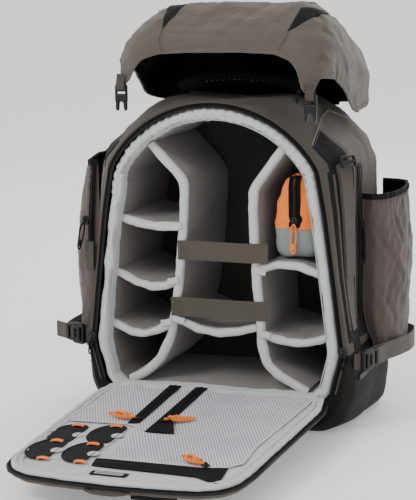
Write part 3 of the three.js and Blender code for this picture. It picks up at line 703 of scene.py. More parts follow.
def lay(name, tree, corners, direction, kind, body, lift=0.7, thickness=1.0, count=(14, 14), **more):
    """A four-cornered piece of cloth laid on a surface, its corners in order round it."""
    a, b, c, d = array(corners)
    s, t = np.meshgrid(np.linspace(0, 1, count[0]), np.linspace(0, 1, count[1]))
    s, t = s[..., None], t[..., None]
    flat = (a * (1 - s) + b * s) * (1 - t) + (d * (1 - s) + c * s) * t
    away = flat - unit(direction) * RAY_START
    points, _ = drape(tree, away, direction, lift)
    return surface(name, points.reshape(count[1], count[0], 3), kind, body,
                   modifiers=[sheet_thickness(thickness)], **more)


def laid_line(tree, line, direction, lift, count=40):
    line = spread(line, count)
    return drape(tree, line - unit(direction) * RAY_START, direction, lift)


def rope(name, path, radius, kind, body, strands=2, pitch=7.0, sides=6, closed=False):
    """A twisted cord."""
    path = array(path)
    across, up = frames(path, np.broadcast_to(array((0.21, 0.13, 0.97)), path.shape), closed)
    along = lengths(path)
    turns = max(1, round(along[-1] / pitch)) / along[-1] * 2 * math.pi
    skins = []
    for k in range(strands):
        angle = along * turns + 2 * math.pi * k / strands
        line = path + (across * np.cos(angle)[:, None] + up * np.sin(angle)[:, None]) * radius * 0.5
        skins.append(skin(sweep(line, (0.21, 0.13, 0.97), ellipse(radius, radius * 1.1, sides), closed),
                          closed, True, not closed))
    return bundle(name, skins, kind, body)


def turned(points, hinge, degrees):
    """From a hinged part's own axes to the row frame."""
    points, angle = array(points), math.radians(degrees)
    y = points[..., 1] * math.cos(angle) - points[..., 2] * math.sin(angle)
    z = points[..., 1] * math.sin(angle) + points[..., 2] * math.cos(angle)
    return np.stack([points[..., 0], y, z], -1) + array(hinge)


PANEL_HINGE, PANEL_DROOP = (8, -117.5, 58), 1.8
LID_HINGE, LID_RAISE = (0, 115, 450), 17.5


def on_panel(points):
    return turned(points, PANEL_HINGE, PANEL_DROOP)


def on_lid(points):
    return turned(points, LID_HINGE, -LID_RAISE)


def facing_front(y):
    return lambda p: np.stack([p[..., 0], y - p[..., 2], p[..., 1]], -1)


def facing_back(y):
    return lambda p: np.stack([-p[..., 0], y + p[..., 2], p[..., 1]], -1)


# ---- floor -------------------------------------------------------------------------------
def make_floor():
    """A floor that curves up into a wall behind the bag, in metres."""
    mesh = bpy.data.meshes.new("floor")
    turn = np.linspace(0, math.pi / 2, 24)
    profile = [(-8, 0)] + [(3.2 + 1.6 * math.sin(a), 1.6 - 1.6 * math.cos(a)) for a in turn] + [(4.8, 8)]
    across = (-9, 9)
    places = [(x, y, z) for y, z in profile for x in across]
    mesh.from_pydata(places, [], [(2 * k, 2 * k + 1, 2 * k + 3, 2 * k + 2) for k in range(len(profile) - 1)])
    mesh.polygons.foreach_set("use_smooth", [True] * len(mesh.polygons))
    n = Nodes("floor", 0.75, Emission_Color=(1, 1, 1, 1), Emission_Strength=0.24)
    mesh.materials.append(n.finish(srgb(248, 248, 249)))
    floor = bpy.data.objects.new("floor", mesh)
    bpy.context.collection.objects.link(floor)


make_floor()

# ---- body: base, shell, seams and main zip -----------------------------------------------
BACK, BOOT_TOP, BAY_BACK, CENTRE_HEIGHT, BODY_COUNT = 108, 118, 78, 230, 300
ARCH = [math.radians(30 + 7.5 * k) for k in range(9)]


def arch_top(radius):
    return [(radius * math.cos(a), 287 + radius * math.sin(a)) for a in ARCH]


RIM = mirrored([(148, 38), (170, 58), (185, 116), (172, 223), (161, 310)] + arch_top(173))
RIM = soften(spread(RIM, 420, True), 6, True)
# depth, and the right half of the body's outline there
SECTIONS = [
    (-115, [(140, 8), (166, 22), (186, 52), (197, 116), (181, 223), (170, 310)] + arch_top(182)),
    (-98, [(156, 0), (184, 14), (201, 52), (204, 112), (184, 223), (178, 310), (168, 385), (134, 424),
           (96, 454), (0, 468)]),
    (-60, [(168, 0), (192, 11), (207, 56), (207, 100), (197, 128), (190, 165), (190, 370), (179, 400),
           (148, 424), (114, 455), (88, 470), (0, 466)]),
    (80, [(190, 0), (202, 12), (207, 50), (207, 100), (197, 128), (190, 165), (190, 370), (176, 405),
          (142, 442), (96, 468), (0, 462)]),
    (108, [(176, 0), (193, 14), (200, 52), (200, 100), (184, 128), (180, 165), (180, 370), (166, 400),
           (130, 438), (60, 458), (0, 458)]),
]


def reach(outline, angles):
    """How far rays from the body's centre line go before they leave an outline."""
    a, b = outline, np.roll(outline, -1, 0)
    edge, start = b - a, a - (0, CENTRE_HEIGHT)
    far = []
    for angle in angles:
        ray = (math.cos(angle), math.sin(angle))
        across = ray[0] * edge[:, 1] - ray[1] * edge[:, 0]
        across = np.where(abs(across) < 1e-9, 1e-9, across)
        along = (start[:, 0] * edge[:, 1] - start[:, 1] * edge[:, 0]) / across
        share = (start[:, 0] * ray[1] - start[:, 1] * ray[0]) / across
        far.append(along[(share > -1e-6) & (share < 1 + 1e-6)].max())
    return array(far)


def body_grid():
    """The body's outer skin, from the rim round to the middle of the back, with soft creases."""
    angles = (np.arange(BODY_COUNT) + 0.5) / BODY_COUNT * 2 * math.pi
    radii = array([reach(mirrored([(0, half[0][1])] + half), angles) for _, half in SECTIONS])
    depths = np.concatenate([[-115, -113, -110, -106, -102, -98, -93, -87, -80, -72, -64],
                             np.linspace(-56, 80, 24), [86, 92, 98, 103, 106, 108]])
    stations = [y for y, _ in SECTIONS]
    far = array([np.interp(depths, stations, radii[:, k]) for k in range(len(angles))]).T
    far = relax(far, 3)
    far = far * 0.6 + (np.roll(far, 1, 1) + np.roll(far, -1, 1)) * 0.2
    lip = reach(grow(RIM, 1.5), angles)
    mid = reach(grow(RIM, 7), angles)
    rows = [lip, mid] + list(far) + [far[-1] * k for k in (0.97, 0.86, 0.62, 0.3, 0.02)]
    depths = np.concatenate([[-114.4, -115], depths, [BACK + 0.4] * 5])
    grid = np.stack([np.stack([r * np.cos(angles), np.full(BODY_COUNT, y),
                               CENTRE_HEIGHT + r * np.sin(angles)], 1) for r, y in zip(rows, depths)])
    normals = grid_normals(grid, closed_cols=True)
    centre = np.stack([grid[..., 0], grid[..., 1] * 0, grid[..., 2] - CENTRE_HEIGHT], -1)
    normals = outward_of(normals, centre)
    amount = np.clip((depths + 112) / 22, 0, 1)[:, None] * np.ones(BODY_COUNT)
    amount[-5:] *= 0.3
    stretch = grid * (1, 1, 0.6)
    wave = 1.0 * ripple(stretch, 62, 3) + 0.45 * ripple(grid, 24, 4) + 0.2 * ripple(grid, 11, 5) - 0.5
    upper = np.clip((grid[..., 2] - BOOT_TOP) / 20, 0, 1)
    strapped = np.exp(-((grid[..., 1] + 72) / 34) ** 2) * np.clip((np.abs(grid[..., 0]) - 150) / 20, 0, 1)
    grid = grid + normals * (wave * amount * (0.35 + 0.65 * upper) * (1 - 0.85 * strapped))[..., None]
    seam = np.exp(-((grid[..., 2] - BOOT_TOP) / 5) ** 2) * amount
    grid -= normals * (seam * 1.4)[..., None]
    grid[..., 2] = np.maximum(grid[..., 2], 0.25)
    return grid


BODY = body_grid()
vertices, faces, uv = skin(BODY, closed_cols=True)
shell = piece("shell_cloth", vertices, faces, "shell", "bag", uv, replaces=["shell"])
boot = piece("boot_cloth", vertices, faces, "black", "bag", uv, replaces=["boot"])
BODY_TREE = tree_of(shell)
halves(shell, BOOT_TOP, True)
halves(boot, BOOT_TOP, False)

first = np.argmax((RIM[:, 1] > 62) & (RIM[:, 0] > 0))
TRACK = np.array([p for p in np.roll(RIM, -first, 0) if p[1] > 62])


def at_depth(flat, y):
    return np.stack([flat[:, 0], np.full(len(flat), y), flat[:, 1]], 1)


def open_grow(line, distance):
    t = unit(np.gradient(line, axis=0))
    return line + np.stack([t[:, 1], -t[:, 0]], 1) * distance


track_line = open_grow(TRACK, 3.1)
strap("main_zip_tape", at_depth(track_line, -116.1), (0, -1, 0), 5.8, 1.4, "tape", replaces=["zip_track"])
beads("main_zip_teeth", at_depth(open_grow(TRACK, 0.6), -116.4), (0, -1, 0), (3.4, 2.2, 1.5), 2.6, "coil")
tube("main_zip_piping", at_depth(open_grow(TRACK, 7.4), -115.4), 1.2, "shell")

for side, sign in SIDES:
    # seams over the shoulder and down the wall
    # The shoulder piping and stitches use the pale seam colour, which is a painted highlight along the seam
    # edge.
    points, normals = laid_line(BODY_TREE, curve([(sign * 130, 25, 446), (sign * 133, -20, 440),
                                (sign * 142, -69, 426), (sign * 143, -104, 405)], 30), (0, 0, -1), 0.6)
    tube(f"shoulder_piping_{side}", points, 0.9, "seam")
    beads(f"shoulder_stitch_{side}", points + (sign * 3.6, 0, 0.4), normals, (0.6, 0.45, 2.2), 3.6, "seam")
    points, normals = laid_line(BODY_TREE, [(sign * 133, 25, 443), (sign * 156, 60, 425)], (0, 0, -1), 0.4,
                                16)
    tube(f"shoulder_seam_{side}", points, 0.9, "seam")
    lay(f"shoulder_patch_{side}", BODY_TREE, [(sign * 142, -69, 426), (sign * 143, -105, 405),
        (sign * 168, -100, 368), (sign * 183, -60, 384)], (-sign * 0.75, 0, -0.66), "black", "bag", 0.6, 1.0)
    points, normals = laid_line(BODY_TREE, [(sign * 200, y, BOOT_TOP) for y in (-100, 0, 104)], (-sign, 0, 0),
                                0.2, 60)
    tube(f"boot_piping_{side}", points, 1.5, "black")
    points, normals = laid_line(BODY_TREE, [(sign * 200, -102, 80), (sign * 200, 0, 77),
                                (sign * 200, 104, 74)], (-sign, 0, 0), 0.25, 60)
    beads(f"boot_stitch_{side}", points, normals, (0.6, 0.5, 2.6), 4.2, "thread")
    tube(f"boot_seam_{side}", points + normals * 0.1, 0.7, "black")


def laid_strap(name, line, direction, lift, size, kind, count=50, **more):
    """A strap laid on the body; size is its width and thickness."""
    points, normals = laid_line(BODY_TREE, line, direction, lift, count)
    strap(name, points, normals, *size, kind, **more)
    return points, normals


# front corners and the right wall: panels, narrow strips, load strap and ladder lock
for side, sign in SIDES:
    lay(f"corner_panel_{side}", BODY_TREE, [(sign * 168, -107, 372), (sign * 182, -92, 372),
        (sign * 202, -92, 134), (sign * 196, -108, 134)], (-sign * 0.8, 0.6, 0),
        "taupe" if sign < 0 else "black", "bag", 0.5, 0.9, count=(8, 60))
laid_strap("wall_trim_right", [(176, -99, 368), (197, -101, 150)], (-0.8, 0.55, 0), 1.1, (5, 1.1),
           "taupe_web")
lay("wall_panel_right", BODY_TREE, [(196, -56, 376), (196, -12, 376), (202, -12, 130), (202, -56, 130)],
    (-1, 0, 0), "black", "bag", 0.5, 0.9, count=(12, 60))
lay("wall_panel_low_right", BODY_TREE, [(196, -94, 142), (196, -56, 150), (205, -56, 121), (205, -94, 121)],
    (-1, 0, 0), "black", "bag", 0.5, 0.9, count=(12, 12))
points, normals = laid_line(BODY_TREE, [(181, -97, 378), (197, -101, 258)], (-0.8, 0.55, 0), 1.2, 50)
points, normals = points * (-1, 1, 1), normals * (-1, 1, 1)
strap("wall_flap_left", points, normals, 15, 1.8, "taupe_web")
laid_strap("load_webbing", [(200, -77, 381), (200, -77, 260), (200, -77, 147)], (-1, 0, 0), 1.7, (29, 2.0),
           "taupe_web", 60, replaces=["load_strap"])
laid_strap("load_webbing_fold", [(200, -77, 382), (200, -77, 300), (200, -77, 222)], (-1, 0, 0), 3.9,
           (27, 1.8), "taupe_web", 40)
points, normals = laid_strap("side_channel_right", [(200, -28, 372), (200, -28, 150)], (-1, 0, 0), 1.4,
                             (22, 1.4), "tape")
beads("side_teeth_right", points + normals * 0.9, normals, (4.2, 1.4, 1.4), 2.6, "coil")
laid_strap("side_strip_right", [(200, -55, 374), (200, -55, 200), (200, -53, 158)], (-1, 0, 0), 1.2, (5, 1.2),
           "taupe_web")
out = unit((0.865, -0.407, 0.296))
along = unit((0.426, 0.905, 0))
cut_plate("ladder_lock_plate", [rounded(31, 17, 3.5), rounded(23, 4.2, 1.4) + (0, 3.6),
                                rounded(23, 3.6, 1.4) + (0, -4.6)], 4.2, 1.2, "plastic", "bag",
          basis((187.2, -77.4, 384.3), along, np.cross(out, along), out), replaces=["ladder_lock"])

# ---- compartment: padded wall, dividers, shelves -------------------------------------------
def liner_grid():
    """The padded wall: out of the rim, round its rolled edge, along the bay and over its back."""
    profile = [(1.0, 40), (0.6, -60), (0.4, -100), (0.0, -106), (-1.2, -110.5), (-3.4, -113.6), (-6, -115.3),
               (-9, -115.9), (-12, -115.3), (-14.8, -113.6), (-17, -110.4), (-18.4, -105), (-19, -98),
               (-19, -80), (-19, -50), (-19, -20), (-19, 10), (-19, 40), (-19, 66), (-18.6, 76)]
    rows = [at_depth(grow(RIM, d), y) for d, y in profile]
    back = grow(RIM, -19)
    middle = array((0, 215))
    for share in (0.94, 0.85, 0.72, 0.58, 0.44, 0.3, 0.16, 0.02):
        rows.append(at_depth(middle + (back - middle) * share, BAY_BACK - 0.3))
    grid = np.stack(rows)
    normals = grid_normals(grid, closed_cols=True)
    away = grid - array((0, 20, CENTRE_HEIGHT))
    normals[8:] = -outward_of(normals[8:], away[8:])
    normals[:8] = outward_of(normals[:8], away[:8])
    height = np.clip((grid[..., 2] - 300) / 60, 0, 1)
    roll = np.exp(-((grid[..., 1] + 112) / 12) ** 2)
    around = np.cumsum(np.linalg.norm(np.diff(RIM, axis=0, prepend=RIM[:1]), axis=1))
    turns = around * 2 * math.pi
    gathers = np.sin(turns / 13 + 1.4 * np.sin(around / 31)) + 0.5 * np.sin(turns / 5.7)
    wave = 0.9 * ripple(grid, 55, 11) + 0.4 * ripple(grid, 20, 12) - 0.4
    wave += gathers[None, :] * height * (0.35 + 0.75 * roll)
    wave += 0.35 * np.sin(around / 9.5)[None, :] * roll
    return grid + normals * wave[..., None]


grid = liner_grid()
vertices, faces, uv = skin(grid, closed_cols=True)
# Faces deeper in the bay get darker cloth as painted shade: the inner walls the divider grey, the back wall
# near-black.
shade_by_depth = [0 if k < 12 * len(RIM) else 1 if k < 19 * len(RIM) else 2 for k in range(len(faces))]
liner = piece("liner_padding", vertices, faces, ["lining", "divider", "bay"], "bag", uv, shade_by_depth,
              replaces=["liner"])
welt = open_grow(TRACK, -17.4)
tube("liner_binding", at_depth(welt, -111.5), 1.1, "pale_thread")

BAY = grow(RIM, -17)


def padded_wall(name, path, thickness, front, node, seed):
    """A padded divider: pale bound front edge; softer cloth sides in a darker grey, partly own tone, partly
    painted shade.
    """
    path = curve(path, 90, 4)
    path = path[inside(path, BAY)]
    depth = BAY_BACK - front
    extra = np.linspace(-depth / 2 + thickness, depth / 2 - thickness, 9)
    right = np.stack([np.full(9, thickness / 2), extra], 1)
    left = np.stack([np.full(9, -thickness / 2), extra[::-1]], 1)
    ring = rounded(thickness, depth, thickness * 0.46, 4)
    section = np.vstack([ring[:5], right, ring[5:15], left, ring[15:]])
    line = np.stack([path[:, 0], np.full(len(path), (front + BAY_BACK) / 2), path[:, 1]], 1)
    grid = sweep(line, (0, -1, 0), section)
    across, _ = frames(line, np.broadcast_to(array((0.0, -1, 0)), line.shape))
    side = np.sign(section[:, 0])[None, :, None] * across[:, None]
    wave = 0.7 * ripple(grid, 42, seed) + 0.3 * ripple(grid, 15, seed + 1)
    grid = grid + side * wave[..., None]
    grid[..., 1] += 0.7 * ripple(grid, 36, seed + 2)
    vertices, faces, uv = skin(grid, closed_cols=True, caps=True)
    count = len(section)
    # The front edge gets the pale lining; the sides get the darker divider grey, which is partly painted
    # shade.
    edge = [bool(section[k, 1] > depth / 2 - 7.5) and bool(section[(k + 1) % count, 1] > depth / 2 - 7.5)
            for k in range(count)]
    kinds = [0 if edge[k % count] else 1 for k in range(len(faces) - 2)] + [1, 1]
    made = piece(name, vertices, faces, ["lining", "divider"], "bag", uv, kinds, replaces=[node])
    for sign, tag in ((-1, "a"), (1, "b")):
        shifted = line + across * sign * (thickness / 2 - 0.1)
        shifted[:, 1] = front + 7.6
        tube(f"{name}_seam_{tag}", shifted, 0.55, "pale_thread", sides=6)


LEFT_PATH = [(-104, 412), (-75, 381), (-48, 354), (-50, 300), (-54, 254), (-60, 200), (-66, 160), (-72, 128),
             (-88, 92), (-115, 68), (-150, 50)]
RIGHT_PATH = [(104, 408), (78, 374), (55, 344), (55, 300), (57, 254), (60, 200), (63, 164), (66, 120),
              (73, 92), (95, 75), (125, 60), (155, 46)]
padded_wall("divider_padding_left", LEFT_PATH, 13, -103, "divider_left", 21)
padded_wall("divider_padding_right", RIGHT_PATH, 13, -103, "divider_right", 24)
SHELVES = {
    "left_upper": [(-165, 299), (-147, 297), (-120, 290), (-95, 286), (-54, 287)],
    "left_middle": [(-170, 222), (-149, 214), (-125, 202), (-102, 197), (-80, 199), (-60, 208)],
    "left_lower": [(-180, 148), (-158, 138), (-135, 128), (-115, 126), (-95, 132), (-72, 146)],
    "centre": [(-64, 151), (-53, 147), (-30, 138), (0, 134), (30, 138), (58, 146)],
    "right_upper": [(60, 228), (70, 232), (90, 238), (120, 237), (155, 226), (180, 216)],
    "right_lower": [(66, 137), (80, 132), (105, 127), (131, 127), (155, 134), (180, 146)],
}
for number, (name, path) in enumerate(SHELVES.items()):
    padded_wall(f"shelf_padding_{name}", path, 11, -101, f"shelf_{name}", 30 + 3 * number)
    inner = array(path[-1] if name.startswith("left") else path[0])
    toward = 1 if name.startswith("left") else -1
    tab = [(inner[0] - toward * 14, -102.5, inner[1] - 1), (inner[0] - toward * 6, -104.4, inner[1]),
           (inner[0] + toward * 3, -104.8, inner[1] + 3)]
    strap(f"shelf_tab_{name}", curve(tab, 12), (0, -1, 0), 9, 1.4, "lining")


def stitch_box(name, centre, width, height, place, kind, body, size=(0.6, 0.5, 2.2)):
    """A sewn rectangle with a cross, on a flat strap."""
    w, h = width / 2, height / 2
    x, y = centre
    loop = spread([(x - w, y - h), (x + w, y - h), (x + w, y + h), (x - w, y + h)], 60, True)
    lines = [np.vstack([loop, loop[:1]]), array([(x - w, y - h), (x + w, y + h)]),
             array([(x - w, y + h), (x + w, y - h)])]
    for number, line in enumerate(lines):
        line = spread(line, 40)
        points = place(raised(line, 0))
        beads(f"{name}_{number}", points, unit(place(raised(line, 1)) - points), size, 3.4, kind, body)


for name, height, x0, x1 in (("upper", 254, -57, 78), ("lower", 171, -69, 77)):
    line = curve([(x0, -104.2, height), (x0 + 30, -104.6, height + 0.5), (x1 - 40, -104.7, height - 0.5),
                  (x1, -104.2, height)], 40)
    strap(f"retainer_{name}_webbing", line, (0, -1, 0), 28, 1.7, "retainer", f"retainer_{name}",
          replaces=[f"retaining_strap_{name}"])
    for edge in (-11.5, 11.5):
        beads(f"retainer_{name}_stitch_{'low' if edge < 0 else 'high'}", line + (0, -0.9, edge), (0, -1, 0),
              (0.6, 0.5, 2.4), 4, "thread", f"retainer_{name}")
    stitch_box(f"retainer_{name}_box", (x0 + 9, height), 12, 20, facing_front(-105.6), "thread",
               f"retainer_{name}")

# ---- accessory pouch -----------------------------------------------------------------------
POUCH = [(88, 246), (136, 246), (145, 256), (146, 300), (139, 338), (127, 362), (110, 367), (94, 356),
         (85, 326), (81, 290), (81, 256)]


def pouch_grid():
    """A soft closed pouch with two dents in its face."""
    outline = curve(POUCH, 80, 5, True)
    middle = array((114, 302))
    rows = [at_depth(middle + (outline - middle) * s, y) for s, y in (
        (0.05, -92.3), (0.3, -92), (0.55, -91.2), (0.74, -89.6), (0.87, -87), (0.95, -83), (0.995, -77),
        (1.0, -60),
        (0.99, -30), (1.0, 0), (0.99, 30), (0.97, 52), (0.6, 60), (0.05, 61)
    )]
    grid = np.stack(rows)
    normals = outward_of(grid_normals(grid, closed_cols=True), grid - array((114, -20, 302)))
    wave = 0.9 * ripple(grid, 30, 51) + 0.45 * ripple(grid, 12, 52) - 0.5
    wave -= 1.6 * crease(grid, (100, -90, 282), (128, -92, 262), 3)
    wave -= 1.3 * crease(grid, (124, -90, 330), (136, -86, 296), 3)
    return grid + normals * wave[..., None]


grid = pouch_grid()
vertices, faces, uv = skin(grid, closed_cols=True)
heights = array([np.mean([vertices[i][2] for i in f]) for f in faces])
pouch = piece("pouch_cloth", vertices, faces, ["orange", "pouch_grey"], "pouch", uv,
              (heights < 288).astype(int), replaces=["accessory_pouch"])
POUCH_TREE = tree_of(pouch)
points, normals = laid_line(POUCH_TREE, [(113, -95, 362), (114, -95, 292)], (0, 1, 0), 0.7, 40)
strap("pouch_zip_tape", points, normals, 17, 1.2, "tape", "pouch")
beads("pouch_zip_teeth", points + normals * 0.8, normals, (4.0, 1.2, 1.2), 2.2, "coil", "pouch")
points, normals = laid_line(POUCH_TREE, [(84, -95, 288), (143, -95, 288)], (0, 1, 0), 0.3, 40)
tube("pouch_seam", points, 0.9, "pouch_grey", "pouch")


def slider(name, place, right, out, body, scale=1.0):
    """A zip slider: a waisted plate with a bridge for the pull."""
    right, out = unit(right), unit(out)
    above = np.cross(out, right)
    outline = array([(-3.2, -6), (3.2, -6), (4.4, 0), (4.6, 5), (2.6, 7), (0, 6), (-2.6, 7), (-4.6, 5),
                     (-4.4, 0)])
    cut_plate(name, [curve(outline, 30, 1, True) * scale], 2.4 * scale, 0.7, "plastic", body,
              basis(place, right, above, out))
    bridge = array([(0, -5, 0.8), (0, -4, 3.2), (0, 1, 3.6), (0, 3.4, 1.0)]) * scale
    line = array(place) + bridge[:, :1] * right + bridge[:, 1:2] * above + bridge[:, 2:] * out
    strap(f"{name}_bridge", curve(line, 12, 2), out, 2.6 * scale, 1.1, "plastic", body)


def cord_loop(name, start, end, out, spread_by, radius, kind, body, knot=True):
    """A doubled cord from a slider, held together by a whipping near its end."""
    start, end, out = array(start), array(end), unit(out)
    line = end - start
    across = unit(np.cross(out, line))
    share = array((0, 0.12, 0.35, 0.6, 0.85, 0.97, 1.0))
    bow = array((0.0, 0.7, 1.0, 0.8, 0.75, 0.5, 0.0)) * spread_by
    one = start + share[:, None] * line + bow[:, None] * across
    two = start + share[::-1, None] * line - bow[::-1, None] * across
    path = curve(np.vstack([one, two[1:]]), 90, 4)
    rope(name, path, radius, kind, body, 2, 5.0)
    if knot:
        middle = start + line * 0.72
        tube(f"{name}_whipping", spread([middle - line * 0.06, middle + line * 0.14], 8), radius * 1.9, kind,
             body, normal=out, sides=10)


slider("pouch_slider", (114, -94.5, 300), (1, 0, 0), (0, -1, 0), "pouch_pull")
cord_loop("pouch_pull_cord", (114, -97, 297), (112, -96, 254), (0, -1, 0), 4.2, 1.7, "cord", "pouch_pull")
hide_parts("pouch_zip_pull")


# ---- back: pads and harness ----------------------------------------------------------------
def pad_piece(name, outline, place, height, body, node, channels=(), step=7, kind="pad", seed=61):
    """A closed foam pad with sewn channels; place puts its height outwards."""
    def top(flat, d):
        rise = height * (1 - np.exp(-d / 5.5))
        for a, b, width, depth in channels:
            rise -= depth * crease(flat, a, b, width) * np.clip(d / 6, 0, 1)
        return 0.6 + rise + 0.7 * ripple(raised(flat, 0), 48, seed) * np.clip(d / 8, 0, 1)
    made = patch(name, outline, place, kind, body, top, level(0.3), step, (1, 2.5, 5),
                 replaces=[node] if node else ())


PAD = rounded(284, 352, 45, 6) + (0, 258)
pad_piece("back_padding", PAD, facing_back(108.4), 15, "bag", "back_pad",
          [((0, 100), (0, 420), 9, 9), ((-130, 330), (130, 330), 6, 7), ((-130, 215), (130, 215), 6, 7)])
tube("back_pad_binding", facing_back(109.4)(raised(PAD, 0)), 1.9, "black", closed=True)
LUMBAR = rounded(200, 68, 22, 6) + (0, 116)
pad_piece("lumbar_padding", LUMBAR, facing_back(124.6), 24.6, "bag", "lumbar_pad",
          [((-50, 84), (-50, 148), 5, 7), ((50, 84), (50, 148), 5, 7)], 6, "pad", 64)
tube("lumbar_binding", facing_back(126)(raised(LUMBAR, 0)), 1.6, "black", closed=True)

STRAP_LINE = [(131, 415), (137, 434), (153, 439), (167, 420), (174, 380), (177, 330), (174, 250), (166, 192)]
WEB_LINE = [(165.5, 190), (160, 165), (143, 120), (122, 90), (113, 78)]


def splayed(line, sign):
    line = array(line)
    return np.stack([sign * (65 + 0.24 * (440 - line[:, 1])), line[:, 0], line[:, 1]], 1)


for side, sign in SIDES:
    line = splayed(curve(STRAP_LINE, 80, 4), sign)
    sideways = np.broadcast_to(array((1.0, 0, 0)), line.shape)
    outward = unit(np.cross(tangents(line), sideways))
    outward *= np.sign(outward[:, 1:2] + outward[:, 2:3] * 0.2 + 1e-6)
    grid = sweep(line, outward, rounded(60, 11.5, 4.6, 4))
    grid += outward[:, None] * (0.6 * ripple(grid, 40, 71))[..., None]
    strap_pad = surface(f"shoulder_padding_{side}", grid, "pad", "bag", closed_cols=True, caps=True,
                        replaces=[f"shoulder_strap_{side}"])
    across, up = frames(line, outward)
    for edge, k in (("in", -30), ("out", 30)):
        tube(f"shoulder_binding_{side}_{edge}", line + across * k, 2.2, "black")
    strap(f"shoulder_daisy_{side}", line[8:70] + up[8:70] * 6.6, up[8:70], 22, 1.5, "black_web")
    lower = splayed(curve(WEB_LINE, 50, 3), sign)
    out_low = unit(np.cross(tangents(lower), np.broadcast_to(array((1.0, 0, 0)), lower.shape)))
    strap(f"shoulder_webbing_{side}", lower, out_low, 25, 2.2, "black_web",
          replaces=[f"strap_webbing_{side}"])
    rail = line[22:46]
    tube(f"sternum_rail_{side}", rail + up[22:46] * 8.2, 1.5, "plastic")

line = curve([(-98, 185.4, 330), (-60, 185.6, 330.4), (-22, 185.6, 330), (22, 185.6, 330), (60, 185.6, 330.3),
              (98, 185.4, 330)], 60)
strap("sternum_webbing", line, (0, 1, 0), 18, 2.2, "black_web", "sternum", replaces=["sternum_strap"])


def back_plate(name, place, outlines, thickness, bevel, body, **more):
    """A buckle half that faces the wearer."""
    cut_plate(name, outlines, thickness, bevel, "plastic", body,
              basis(place, (-1, 0, 0), (0, 0, 1), (0, 1, 0)), **more)


back_plate("sternum_buckle_socket", (0, 188, 330), [rounded(19, 23, 4) + (8.6, 0),
           rounded(5, 12, 1.5) + (9, 0)], 7, 1.6, "sternum")
back_plate("sternum_buckle_plug", (0, 188, 330), [rounded(17, 19, 4) + (-9.6, 0),
           rounded(3, 13, 1) + (-13, 0)], 6, 1.5, "sternum")

WING = [(104, 84), (104, 148), (70, 150), (42, 138), (34, 128), (34, 104), (42, 94), (70, 82)]
for side, sign in SIDES:
    outline = array(WING) * (-sign, 1)
    outline = outline if sign < 0 else outline[::-1]
    outline = curve(outline, 90, 2, True)
    pad_piece(f"belt_padding_{side}", outline, facing_back(151.2), 12.3, f"belt_{side}", f"belt_wing_{side}",
              (), 5, "pad", 74)
    tube(f"belt_binding_{side}", facing_back(152.4)(raised(outline, 0)), 1.6, "black", f"belt_{side}",
         closed=True)
BELT_WEB = array([(31, 158, 116), (40, 161, 116), (56, 163.8, 116), (84, 164, 116)])
back_plate("belt_socket", (0, 158.4, 116), [rounded(25, 34, 5) + (-20, 0), rounded(9, 18, 2) + (-17, 0)], 9.5,
           2.2, "belt_right", replaces=["belt_buckle_socket"])
strap("belt_socket_webbing", BELT_WEB, (0, 1, 0), 20, 2, "black_web", "belt_right")
back_plate("belt_plug", (0, 158.4, 116), [rounded(20, 32, 4) + (22, 0), rounded(4, 20, 1.2) + (27, 0)], 8.5,
           2, "belt_left", replaces=["belt_buckle_plug"])
strap("belt_plug_webbing", BELT_WEB * (-1, 1, 1), (0, 1, 0), 20, 2, "black_web", "belt_left")

for node, kind in (("frame_sheet", "board"), ("stay_left", "alloy"), ("stay_right", "alloy")):
    thing = bpy.data.objects[node]
    thing.data.materials.clear()
    thing.data.materials.append(M[kind])

# ---- haul handle ---------------------------------------------------------------------------
HANDLE = [(-92, 15, 475.5), (-80, 15, 483), (-44, 15, 491), (0, 15, 493), (44, 15, 491), (80, 15, 483),
          (92, 15, 475.5)]
line = curve(HANDLE, 150, 6)
along = lengths(line)
swell = 1 + 0.07 * np.sin(along * 2 * math.pi / 9 + np.sin(along / 13)) * np.exp(-(line[:, 0] / 62) ** 4)
grid = sweep(line, (0, 0, 1), rounded(15, 20, 6, 4), widths=swell, heights=swell)
grid += 0.5 * ripple(grid, 16, 81)[..., None] * (0, 0.4, 0.8)
handle = surface("handle_grip", grid, "black", "haul_handle", closed_cols=True, caps=True,
                 replaces=["haul_handle"])
for side, sign in SIDES:
    beads(f"handle_stitch_{side}", line[25:-25] + (0, sign * 7.1, -3), (0, sign, 0), (0.6, 0.4, 2.4), 4.2,
          "pale_thread", "haul_handle")
    laid_strap(f"handle_anchor_{side}", [(sign * 84, 15, 480), (sign * 112, 15, 462)], (0, 0, -1), 1.2,
               (24, 1.8), "black_web", 16)


# ---- side pockets --------------------------------------------------------------------------
POCKET_FLOOR, POCKET_COUNT, POCKET_ROWS = 97, 84, 64
